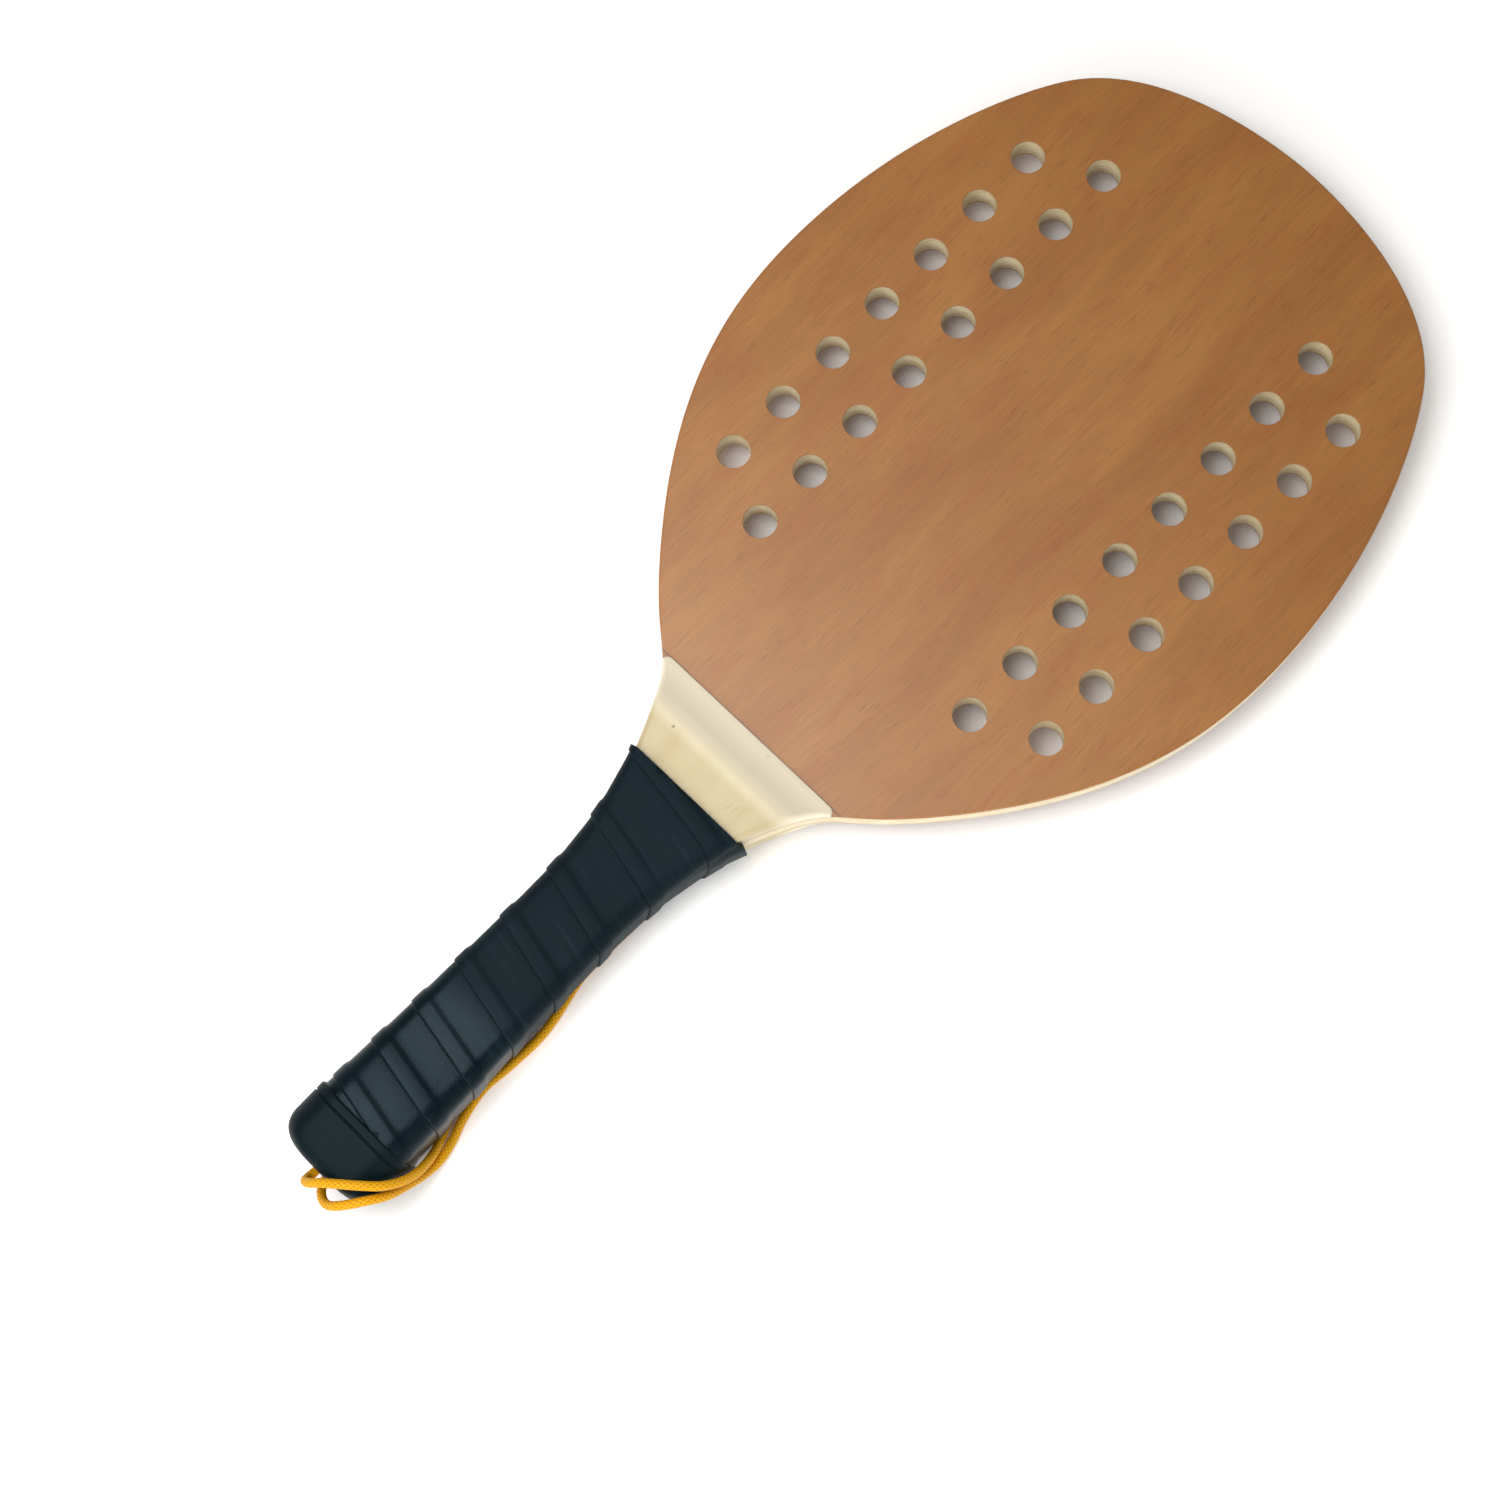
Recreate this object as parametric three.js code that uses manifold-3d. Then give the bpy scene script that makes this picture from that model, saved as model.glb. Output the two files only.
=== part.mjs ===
// Beach tennis racket: a perforated plywood blade whose tang runs through a wound handle.
// Millimetres. +Y points to the head, +X to the right of the face, +Z out of the front face.
// The origin is on the surface that the racket lies on, under the middle of its length.
import * as THREE from "three";
import { mergeVertices } from "three/addons/utils/BufferGeometryUtils.js";
import Module from "manifold-3d";

const wasm = await Module();
wasm.setup();

const { clamp, smoothstep } = THREE.MathUtils;

// Lengths along the racket
const bladeLength = 258.7;
const throatLength = 28.5;
const gripLength = 160.2;
const overallLength = bladeLength + throatLength + gripLength;
const buttY = -overallLength / 2;
const gripTopY = buttY + gripLength;
const bladeStartY = gripTopY + throatLength;

// Half widths of the wood
const headHalfWidth = 104.8;
const neckHalfWidth = 21.9;
const waistHalfWidth = 14.1;
const buttHalfWidth = 16.3;

// Layers of the blade
const veneerThickness = 0.6;
const crossbandThickness = 2.2;
const coreThickness = 4.4;

// Half thicknesses of the wood of the handle
const throatHalfThickness = 12.2;
const waistHalfThickness = 9.7;
const buttHalfThickness = 12.6;

// Heights of the waist above the butt end
const flareEndHeight = 56;
const narrowestHeight = 109;
const hollowTopHeight = 126;

// Rounding of the long edges of the wood
const throatEdgeRadius = 2.2;
const waistEdgeRadius = 4.4;
const buttEdgeRadius = 6.6;
const edgeLimitShare = 0.9;

// Grip tape
const tapeThickness = 1.0;
const tapeOverlap = 5.0;
const tapeRelief = 0.5;
const tapeEdgeRun = 0.4;
const tapeSettleRun = 1.6;
const firstSeamRise = 0.5;
const firstPitch = 15.5;
const pitchGain = 1.2;

// Butt cap
const capLength = 20;
const capWall = 2.1;
const capEndWall = 4.6;
const capCornerRadius = 8.5;
const capRimRadius = 4.2;
const cordHoleRadius = 4.0;

// Holes in the blade
const holeRadius = 5.6;
const holePitch = 23;
const columnSpacing = 22.4;
const firstHoleDrop = 46.2;
const outerColumnDrop = 12.1;
const bareThroatLength = 45;
const outerColumnShare = 0.65;

// Throat ends of the handle scales
const scaleFrontHalfWidth = 36.8;
const scaleCornerRadius = 2;
const scaleFrontRise = 0.8;
const rampLength = 12;

// Wrist cord
const cordDiameter = 3;
const knotDiameter = 9.4;
const knotLength = 9;
const pocketClearance = 1.2;

// Fits
const clearance = 0.3;
const cutOverrun = 1;

const bladeHalfThickness = coreThickness / 2 + crossbandThickness + veneerThickness;
const midZ = buttHalfThickness + clearance + capWall;
const capTopY = buttY + capLength;
const tangEndY = buttY + capEndWall + clearance;
const narrowestY = buttY + narrowestHeight;

// Detail of the solids
const curveSteps = 8;
const endCurveSteps = 3;
const holeSides = 10;
const cornerSteps = 4;
const pocketSides = 16;
const cordSides = 8;
const cordSteps = 80;

function material(name, color, roughness) {
  return new THREE.MeshStandardMaterial({ name, color, roughness, metalness: 0 });
}

const veneerWood = material("veneer_wood", 0xb97a4b, 0.5);
const crossbandWood = material("crossband_wood", 0xd9c193, 0.65);
const coreWood = material("core_wood", 0xe6d3a8, 0.65);
const scaleWood = material("scale_wood", 0xe9dcb4, 0.6);
const tapeSkin = material("tape_skin", 0x1d2529, 0.55);
const capRubber = material("cap_rubber", 0x1a2023, 0.6);
const cordYarn = material("cord_yarn", 0xe0a014, 0.7);

function solidOf(geometry) {
  const bare = geometry.clone();
  bare.deleteAttribute("normal");
  bare.deleteAttribute("uv");
  const merged = mergeVertices(bare);
  const mesh = new wasm.Mesh({
    numProp: 3,
    vertProperties: new Float32Array(merged.attributes.position.array),
    triVerts: new Uint32Array(merged.index.array),
  });
  return new wasm.Manifold(mesh);
}

function geometryOf(solid) {
  const mesh = solid.getMesh();
  return indexedGeometry(mesh.vertProperties, Array.from(mesh.triVerts));
}

function indexedGeometry(positions, indices) {
  const geometry = new THREE.BufferGeometry();
  geometry.setAttribute("position", new THREE.Float32BufferAttribute(positions, 3));
  geometry.setIndex(indices);
  geometry.computeVertexNormals();
  return geometry;
}

function named(name, geometry, skin) {
  const mesh = new THREE.Mesh(geometry, skin);
  mesh.name = name;
  return mesh;
}

// Points of the head's edge, each a share of the head's half width and of the blade's length.
const headEdgeShares = [
  [0, 1],
  [0.104, 1],
  [0.563, 0.992],
  [0.743, 0.881],
  [0.831, 0.827],
  [1, 0.682],
  [1, 0.493],
  [1, 0.375],
  [0.931, 0.256],
  [0.642, 0.111],
  [0.348, -0.036],
];
const neckSlopeShare = 0.4;
const neckReachShare = 1.288;
const gripReachShare = 0.212;
const narrowReachShare = 0.39;
const flareReachShare = 0.33;
const flareBendShare = 0.6;

// The right edge of the wood, from the top of the head to the end of the tang.
function rightEdge() {
  const [start, ...rest] = headEdgeShares.map(([across, along]) => [
    headHalfWidth * across,
    bladeStartY + bladeLength * along,
  ]);
  const neckReach = throatLength * neckReachShare;
  const gripReach = (gripTopY - narrowestY) * gripReachShare;
  const narrowReach = (gripTopY - narrowestY) * narrowReachShare;
  const flareReach = (narrowestY - capTopY) * flareReachShare;
  const path = new THREE.Path();
  path.moveTo(...start);
  path.bezierCurveTo(...rest[0], ...rest[1], ...rest[2]);
  path.bezierCurveTo(...rest[3], ...rest[4], ...rest[5]);
  path.bezierCurveTo(...rest[6], ...rest[7], ...rest[8]);
  path.bezierCurveTo(
    ...rest[9],
    neckHalfWidth + neckReach * neckSlopeShare,
    gripTopY + neckReach,
    neckHalfWidth,
    gripTopY,
  );
  path.bezierCurveTo(
    neckHalfWidth - gripReach * neckSlopeShare,
    gripTopY - gripReach,
    waistHalfWidth,
    narrowestY + narrowReach,
    waistHalfWidth,
    narrowestY,
  );
  path.bezierCurveTo(
    waistHalfWidth,
    narrowestY - flareReach,
    waistHalfWidth + (buttHalfWidth - waistHalfWidth) * flareBendShare,
    capTopY + flareReach,
    buttHalfWidth,
    capTopY,
  );
  return path.getPoints(curveSteps);
}

const edgePoints = rightEdge();

// The shortfall of a rounded corner from its square one, at a distance from the corner's end.
function cornerShortfall(radius, distance) {
  const left = Math.max(radius - distance, 0);
  return radius - Math.sqrt(radius * radius - left * left);
}

const tangCornerRadius = capCornerRadius - capWall - clearance;
const tangRimRadius = capRimRadius - capWall - clearance;

function woodHalfWidth(y) {
  if (y <= capTopY) {
    return buttHalfWidth - cornerShortfall(tangCornerRadius, y - tangEndY);
  }
  const next = edgePoints.findIndex((point) => point.y <= y);
  const upper = edgePoints[next - 1];
  const lower = edgePoints[next];
  return lower.x + ((upper.x - lower.x) * (y - lower.y)) / (upper.y - lower.y);
}

// The scale stands on the blade with a low lip, climbs a scooped ramp and stays level up to the grip.
function woodHalfThickness(y) {
  const climb = Math.min((bladeStartY - y) / rampLength, 1);
  const front = bladeHalfThickness + scaleFrontRise;
  const ramp = front + (throatHalfThickness - front) * climb * (climb + 1) / 2;
  const hollow = smoothstep(gripTopY - y, 0, gripTopY - buttY - hollowTopHeight);
  const flare = smoothstep(buttY + flareEndHeight - y, 0, flareEndHeight - capLength);
  const end = cornerShortfall(tangRimRadius, y - tangEndY);
  const waist = ramp + (waistHalfThickness - ramp) * hollow;
  return waist + (buttHalfThickness - waist) * flare - end;
}

function woodEdgeRadius(y) {
  const hollow = smoothstep(gripTopY - y, 0, gripTopY - buttY - hollowTopHeight);
  const flare = smoothstep(buttY + flareEndHeight - y, 0, flareEndHeight - capLength);
  const waist = throatEdgeRadius + (waistEdgeRadius - throatEdgeRadius) * hollow;
  const wanted = waist + (buttEdgeRadius - waist) * flare;
  return Math.min(wanted, (woodHalfThickness(y) - bladeHalfThickness) * edgeLimitShare);
}

// Corner arcs of a rounded rectangle's top right quarter, from its side to its top.
function cornerArc(halfWidth, halfHeight, radius) {
  const points = [];
  for (let step = 0; step <= cornerSteps; step += 1) {
    const angle = (Math.PI / 2) * (step / cornerSteps);
    const x = halfWidth - radius + radius * Math.cos(angle);
    const z = halfHeight - radius + radius * Math.sin(angle);
    points.push([x, z]);
  }
  return points;
}

const mirrorX = (points) => points.map(([x, z]) => [-x, z]).reverse();
const mirrorZ = (points) => points.map(([x, z]) => [x, -z]).reverse();

// A section's points run from the right side over the top and back round below.
function roundedSection(halfWidth, halfHeight, radius) {
  const right = cornerArc(halfWidth, halfHeight, radius);
  const upper = [...right, ...mirrorX(right)];
  return [...upper, ...mirrorZ(upper)];
}

function domedSection(halfWidth, base, top, radius) {
  const right = cornerArc(halfWidth, top, radius);
  return [[halfWidth, base], ...right, ...mirrorX(right), [-halfWidth, base]];
}

// A closed body through sections that stand one behind the other along the racket.
function loft(stations, sectionAt, upright = 1) {
  const rings = stations.map((y) => sectionAt(y).map(([x, z]) => [x, y, midZ + upright * z]));
  const count = rings[0].length;
  const indices = [];
  const addTriangle = (a, b, c) => indices.push(...(upright > 0 ? [a, b, c] : [a, c, b]));
  for (let ring = 0; ring < rings.length - 1; ring += 1) {
    for (let point = 0; point < count; point += 1) {
      const here = ring * count + point;
      const beside = ring * count + ((point + 1) % count);
      addTriangle(here, here + count, beside);
      addTriangle(beside, here + count, beside + count);
    }
  }
  const last = (rings.length - 1) * count;
  for (let point = 1; point < count - 1; point += 1) {
    addTriangle(0, point, point + 1);
    addTriangle(last, last + point + 1, last + point);
  }
  return indexedGeometry(rings.flat(2), indices);
}

// Stations that follow a rounded corner, at distances from the corner's end.
function cornerDistances(radius) {
  const distances = [];
  for (let step = 0; step <= endCurveSteps; step += 1) {
    distances.push(radius * (1 - Math.cos((Math.PI / 2) * (step / endCurveSteps))));
  }
  return distances;
}

const handleStations = edgePoints.map((point) => point.y).filter((y) => y < gripTopY && y > capTopY);
const tangEndStations = cornerDistances(tangCornerRadius).map((distance) => tangEndY + distance);

// A flat layer between two heights, with the outline and the holes of the blade.
function layer(name, bottom, top, skin) {
  const shape = new THREE.Shape(layerOutline());
  for (const [x, y] of holePlaces()) {
    shape.holes.push(new THREE.Path(circlePoints(x, y, holeRadius, holeSides)));
  }
  const plate = new THREE.ExtrudeGeometry(shape, { depth: top - bottom, bevelEnabled: false });
  const heights = plate.attributes.position;
  for (let index = 0; index < heights.count; index += 1) {
    heights.setZ(index, midZ + (heights.getZ(index) > 0 ? top : bottom));
  }
  return named(name, geometryOf(solidOf(plate).subtract(knotPocket())), skin);
}

function layerOutline() {
  const right = edgePoints.slice(1).map((point) => new THREE.Vector2(point.x, point.y));
  for (const y of [...tangEndStations].reverse()) {
    right.push(new THREE.Vector2(woodHalfWidth(y), y));
  }
  const left = right.map((point) => new THREE.Vector2(-point.x, point.y)).reverse();
  return [edgePoints[0], ...right, ...left];
}

function circlePoints(centreX, centreY, radius, sides) {
  const points = [];
  for (let side = 0; side < sides; side += 1) {
    const angle = (2 * Math.PI * side) / sides;
    const x = centreX + radius * Math.cos(angle);
    points.push(new THREE.Vector2(x, centreY + radius * Math.sin(angle)));
  }
  return points;
}

// Two columns of holes on each side, the outer one set half a pitch lower.
function holePlaces() {
  const outerX = headHalfWidth * outerColumnShare;
  const columns = [
    [outerX - columnSpacing, 0],
    [outerX, outerColumnDrop],
  ];
  const places = [];
  for (const [x, drop] of columns) {
    const firstY = bladeStartY + bladeLength - firstHoleDrop - drop;
    for (let y = firstY; y > bladeStartY + bareThroatLength; y -= holePitch) {
      places.push([x, y], [-x, y]);
    }
  }
  return places;
}

// The pocket in the end of the tang that the knot lies in.
function knotPocket() {
  const depth = knotLength + pocketClearance;
  const radius = knotDiameter / 2 + pocketClearance;
  const drill = new THREE.CylinderGeometry(radius, radius, depth + cutOverrun, pocketSides);
  drill.translate(0, tangEndY + (depth - cutOverrun) / 2, midZ);
  return solidOf(drill);
}

// A block of wood on one side of the tang, from the throat to the end in the butt cap.
function handleScale(name, upright) {
  const frontDistances = cornerDistances(scaleCornerRadius);
  const ramp = [];
  for (let step = 1; step <= endCurveSteps; step += 1) {
    const start = scaleCornerRadius;
    ramp.push(bladeStartY - start - ((rampLength - start) * step) / endCurveSteps);
  }
  const throat = edgePoints.map((point) => point.y).filter((y) => y < ramp.at(-1) && y >= gripTopY);
  const stations = [
    ...tangEndStations,
    capTopY,
    ...ascending([...throat, ...handleStations]),
    ...ramp.reverse(),
    ...frontDistances.map((distance) => bladeStartY - distance).reverse(),
  ];
  const section = (y) => {
    const front = scaleFrontHalfWidth - cornerShortfall(scaleCornerRadius, bladeStartY - y);
    const halfWidth = Math.min(woodHalfWidth(y), front);
    return domedSection(halfWidth, bladeHalfThickness, woodHalfThickness(y), woodEdgeRadius(y));
  };
  const block = solidOf(loft(distinct(stations), section, upright));
  return named(name, geometryOf(block.subtract(knotPocket())), scaleWood);
}

function ascending(values) {
  return [...values].sort((a, b) => a - b);
}

// Stations without those that all but fall together.
function distinct(stations) {
  return stations.filter((y, index) => index === 0 || y - stations[index - 1] > clearance / 2);
}

// The wood's section of the handle, grown on all sides.
function handleSection(y, growth) {
  return roundedSection(
    woodHalfWidth(y) + growth,
    woodHalfThickness(y) + growth,
    woodEdgeRadius(y) + growth,
  );
}

function box(minX, maxX, minY, maxY, minZ, maxZ) {
  const geometry = new THREE.BoxGeometry(maxX - minX, maxY - minY, maxZ - minZ);
  geometry.translate((minX + maxX) / 2, (minY + maxY) / 2, (minZ + maxZ) / 2);
  return solidOf(geometry);
}

// Place along the racket of the tape's lower edge, each turn being a little wider than the last.
function seamY(turns) {
  const widening = (pitchGain * turns * (turns - 1)) / 2;
  return capTopY + firstSeamRise + turns * firstPitch + widening;
}

// Shares of a turn at which the handle's section points lie, counted from the middle of the front.
function turnShares() {
  const section = handleSection(narrowestY, clearance);
  const travelled = [0];
  section.forEach(([x, z], index) => {
    const [nextX, nextZ] = section[(index + 1) % section.length];
    travelled.push(travelled.at(-1) + Math.hypot(nextX - x, nextZ - z));
  });
  const around = travelled.pop();
  const front = (travelled[cornerSteps] + travelled[cornerSteps + 1]) / 2;
  return travelled.map((length) => (length - front) / around);
}

// Places and heights of the tape's surface through one turn, from its lower edge to the next one.
function tapeRuns(seam, nextSeam) {
  const settled = seam + tapeOverlap + tapeSettleRun;
  return [
    [seam - tapeEdgeRun / 2, 0],
    [seam + tapeEdgeRun / 2, tapeRelief],
    [seam + tapeOverlap, tapeRelief],
    [settled, 0],
    [(settled + nextSeam) / 2, 0],
  ];
}

// The outside of the wound tape. Each turn's lower edge lies on the turn below, so a helical step runs
// round the handle, up from its right side over the front to its left side.
function woundBody() {
  const shares = turnShares();
  const runCount = tapeRuns(0, 0).length;
  let turnCount = 1;
  while (seamY(turnCount - 1) < gripTopY) {
    turnCount += 1;
  }
  const columns = shares.map((share, column) => {
    const places = [];
    const turns = turnCount + (column === 0 ? 2 : 1);
    for (let turn = -1; turn < turns; turn += 1) {
      for (const [y, relief] of tapeRuns(seamY(turn + share), seamY(turn + share + 1))) {
        const sectionY = clamp(y, capTopY, gripTopY);
        const growth = clearance + tapeThickness + relief;
        const [x, z] = handleSection(sectionY, growth)[column];
        places.push([x, y, midZ + z]);
      }
    }
    return places;
  });
  return helicalBody(columns, runCount);
}

// A closed body whose last column joins the first one a turn higher up.
function helicalBody(columns, shift) {
  const height = columns[1].length;
  const starts = [];
  let total = 0;
  for (const column of columns) {
    starts.push(total);
    total += column.length;
  }
  const at = (column, place) =>
    column < columns.length ? starts[column] + place : starts[0] + place + shift;
  const indices = [];
  for (let column = 0; column < columns.length; column += 1) {
    for (let place = 0; place < height - 1; place += 1) {
      const here = at(column, place);
      const beside = at(column + 1, place);
      indices.push(here, here + 1, beside, beside, here + 1, beside + 1);
    }
  }
  const lowerRim = columns.map((_, column) => at(column, 0));
  const upperRim = columns.map((_, column) => at(column, height - 1));
  for (let place = shift; place > 0; place -= 1) {
    lowerRim.push(at(0, place));
    upperRim.push(at(0, height - 1 + place));
  }
  const [lowEnd, highEnd] = [total, total + 1];
  lowerRim.forEach((here, index) => {
    const next = (index + 1) % lowerRim.length;
    indices.push(lowEnd, here, lowerRim[next]);
    indices.push(highEnd, upperRim[next], upperRim[index]);
  });
  const positions = columns.flat();
  positions.push([0, positions[0][1] - firstPitch, midZ]);
  positions.push([0, columns[0].at(-1)[1] + firstPitch, midZ]);
  return indexedGeometry(positions.flat(), indices);
}

// The wound tape as one sleeve between the butt cap and the throat.
function gripTape() {
  const reach = overallLength;
  const bore = loft(
    [capTopY - cutOverrun, capTopY, ...ascending(handleStations), gripTopY, gripTopY + cutOverrun],
    (y) => handleSection(clamp(y, capTopY, gripTopY), clearance),
  );
  const sleeve = solidOf(woundBody())
    .intersect(box(-reach, reach, capTopY + clearance, gripTopY, -reach, reach))
    .subtract(solidOf(bore));
  return named("grip_tape", geometryOf(sleeve), tapeSkin);
}

// A cup over the end of the tang, with a hole in its end for both strands of the cord.
function buttCap() {
  const halfWidth = buttHalfWidth + clearance + capWall;
  const halfHeight = buttHalfThickness + clearance + capWall;
  const distances = [...cornerDistances(capRimRadius), ...cornerDistances(capCornerRadius), capLength];
  const outside = loft(distinct(ascending(distances)), (distance) =>
    roundedSection(
      halfWidth - cornerShortfall(capCornerRadius, distance),
      halfHeight - cornerShortfall(capRimRadius, distance),
      woodEdgeRadius(tangEndY + distance) + clearance + capWall,
    ),
  );
  outside.translate(0, buttY, 0);
  const cavity = loft(
    [tangEndY - clearance, ...tangEndStations, capTopY + cutOverrun],
    (y) => handleSection(clamp(y, tangEndY, capTopY), clearance),
  );
  const drillLength = capEndWall + 2 * cutOverrun;
  const drill = new THREE.CylinderGeometry(cordHoleRadius, cordHoleRadius, drillLength, pocketSides);
  drill.translate(0, buttY - cutOverrun + drillLength / 2, midZ);
  const cup = solidOf(outside).subtract(solidOf(cavity)).subtract(solidOf(drill));
  return named("butt_cap", geometryOf(cup), capRubber);
}

// Radius and height of the knot's outline, as shares of its radius and length.
const knotShares = [
  [0, 0],
  [0.78, 0],
  [0.96, 0.12],
  [1, 0.35],
  [0.9, 0.55],
  [0.98, 0.72],
  [0.74, 0.93],
  [0, 1],
];

function cordKnot() {
  const profile = knotShares.map(
    ([across, along]) => new THREE.Vector2((knotDiameter / 2) * across, knotLength * along),
  );
  const knot = new THREE.LatheGeometry(profile, pocketSides);
  knot.translate(0, tangEndY, midZ);
  return named("cord_knot", geometryOf(solidOf(knot)), cordYarn);
}

// The cord's route from the knot out over the right corner, along the handle and back again: across,
// height above the butt end, height above the ground.
const cordRoute = [
  [-1.8, 4.6, 15],
  [-1.8, 1.6, 15],
  [-1.8, -1.4, 15.7],
  [-1.7, -3.9, 17.9],
  [-1, -5, 21.8],
  [1.1, -4.2, 26.3],
  [4.2, -1.4, 30],
  [9, 2.6, 32],
  [14, 6.8, 32],
  [18.2, 10.8, 29.6],
  [20.6, 15, 24.6],
  [21.2, 19.2, 17.6],
  [20.3, 23.6, 10.6],
  [18.9, 27.2, 5.6],
  [16.9, 31.4, 2.4],
  [14.5, 37.6, 1.65],
  [10.4, 54, 1.55],
  [-0.4, 106, 1.55],
  [-3.4, 120.6, 1.55],
  [-1.4, 126, 1.55],
  [3.75, 128.3, 1.55],
  [8.9, 126, 1.55],
  [10.9, 120.6, 1.55],
  [12.6, 99, 1.55],
  [16.7, 77, 1.55],
  [16.3, 62, 1.55],
  [15.4, 51.4, 1.55],
  [17.3, 40.6, 1.6],
  [20.1, 32.4, 1.75],
  [21.6, 26.4, 3.3],
  [21.9, 20.8, 7.4],
  [21.4, 14.6, 15],
  [20.4, 9.2, 23],
  [17.4, 3.8, 27.8],
  [12.9, -2.3, 26.5],
  [9.5, -5.2, 22.6],
  [6.4, -5.6, 18.8],
  [3.6, -4.1, 16.2],
  [1.9, -0.8, 15],
  [1.8, 4.6, 15],
];

function wristCord() {
  const points = cordRoute.map(([x, rise, z]) => new THREE.Vector3(x, buttY + rise, z));
  const route = new THREE.CatmullRomCurve3(points, false, "centripetal");
  const section = new THREE.Shape(circlePoints(0, 0, cordDiameter / 2, cordSides));
  const options = { steps: cordSteps, extrudePath: route, bevelEnabled: false };
  const cord = new THREE.ExtrudeGeometry(section, options);
  return named("wrist_cord", geometryOf(solidOf(cord)), cordYarn);
}

// The glued layers of the blade, from the back face to the front one.
function bladeLayers() {
  const coreHalf = coreThickness / 2;
  const plyHalf = coreHalf + crossbandThickness;
  return [
    layer("back_face_veneer", -bladeHalfThickness, -plyHalf, veneerWood),
    layer("back_crossband_ply", -plyHalf, -coreHalf, crossbandWood),
    layer("core_ply", -coreHalf, coreHalf, coreWood),
    layer("front_crossband_ply", coreHalf, plyHalf, crossbandWood),
    layer("front_face_veneer", plyHalf, bladeHalfThickness, veneerWood),
  ];
}

const racket = new THREE.Group();
racket.add(...bladeLayers());
racket.add(handleScale("front_handle_scale", 1), handleScale("back_handle_scale", -1));
racket.add(gripTape(), buttCap(), cordKnot(), wristCord());

export default racket;
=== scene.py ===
import math
from functools import partial

import bmesh
import bpy
from mathutils import Matrix, Vector
from mathutils.geometry import interpolate_bezier


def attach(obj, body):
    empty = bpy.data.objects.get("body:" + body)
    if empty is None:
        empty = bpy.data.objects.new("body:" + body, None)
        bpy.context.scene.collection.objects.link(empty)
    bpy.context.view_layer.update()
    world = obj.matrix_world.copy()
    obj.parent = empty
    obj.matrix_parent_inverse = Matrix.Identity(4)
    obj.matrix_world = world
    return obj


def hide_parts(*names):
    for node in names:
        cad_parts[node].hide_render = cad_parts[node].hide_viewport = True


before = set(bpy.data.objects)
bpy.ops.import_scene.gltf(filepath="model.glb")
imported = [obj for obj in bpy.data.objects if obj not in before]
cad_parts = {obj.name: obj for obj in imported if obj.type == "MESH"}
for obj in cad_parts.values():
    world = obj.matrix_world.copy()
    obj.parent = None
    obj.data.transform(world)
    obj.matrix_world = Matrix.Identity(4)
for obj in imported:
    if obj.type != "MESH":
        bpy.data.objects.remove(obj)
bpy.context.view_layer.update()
mm = 0.001

# the photograph's viewpoint, solved from the pattern of holes
viewpoint = {
    "place": (0.14131, -0.12959, 0.81017),
    "turn": (
        (0.716962, -0.675954, 0.170447),
        (0.695648, 0.70958, -0.112115),
        (-0.045161, 0.198953, 0.978968),
    ),
    "lens": 61.896,
    "sensor": 36,
    "nearest": 0.02,
}

camera = bpy.data.objects.new("camera", bpy.data.cameras.new("camera"))
bpy.context.scene.collection.objects.link(camera)
camera.data.lens = viewpoint["lens"]
camera.data.sensor_width = viewpoint["sensor"]
camera.data.clip_start = viewpoint["nearest"]
camera.matrix_world = Matrix.Translation(viewpoint["place"]) @ Matrix(viewpoint["turn"]).to_4x4()
bpy.context.scene.camera = camera


def newPiece(name, verts, faces, smooth=True, sharpAngle=30):
    mesh = bpy.data.meshes.new(name)
    mesh.from_pydata([tuple(v) for v in verts], [], faces)
    mesh.validate()
    mesh.update()
    piece = bpy.data.objects.new(name, mesh)
    bpy.context.scene.collection.objects.link(piece)
    if smooth:
        shadeByAngle(piece, sharpAngle)
    return piece


def shadeByAngle(piece, sharpAngle):
    piece.data.shade_smooth()
    piece.data.set_sharp_from_angle(angle=math.radians(sharpAngle))


def faceOutward(piece):
    shape = bmesh.new()
    shape.from_mesh(piece.data)
    bmesh.ops.remove_doubles(shape, verts=shape.verts, dist=0.002 * mm)
    bmesh.ops.recalc_face_normals(shape, faces=shape.faces)
    shape.to_mesh(piece.data)
    shape.free()


def freeze(piece):
    # the evaluated shape takes the place of the mesh, and the modifiers go
    graph = bpy.context.evaluated_depsgraph_get()
    finished = bpy.data.meshes.new_from_object(piece.evaluated_get(graph), depsgraph=graph)
    finished.name = piece.name
    old = piece.data
    piece.modifiers.clear()
    piece.data = finished
    bpy.data.meshes.remove(old)


def wear(piece, material, slotName, node):
    piece.data.materials.clear()
    piece.data.materials.append(material)
    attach(piece, "root")
    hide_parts(node)


def linear(hexColour):
    parts = [int(hexColour[i : i + 2], 16) / 255 for i in (1, 3, 5)]
    return tuple(c / 12.92 if c <= 0.04045 else ((c + 0.055) / 1.055) ** 2.4 for c in parts) + (1.0,)


def addNode(tree, kind, settings=None, links=None):
    # kind is a node's name without the word it starts with, and its operation after a colon;
    # settings name a property or a socket, and links name a socket and what feeds it: a node or its output
    kind, _, operation = kind.partition(":")
    shaping = tree.bl_idname == "GeometryNodeTree" and hasattr(bpy.types, "GeometryNode" + kind)
    node = tree.nodes.new(("GeometryNode" if shaping else "ShaderNode") + kind)
    if operation:
        node.operation = operation
    for name, value in (settings or {}).items():
        if isinstance(name, str) and hasattr(node, name):
            setattr(node, name, value)
        else:
            node.inputs[name].default_value = value
    for name, source in (links or {}).items():
        output = source.outputs[0] if isinstance(source, bpy.types.Node) else source
        tree.links.new(output, node.inputs[name])
    return node


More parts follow.
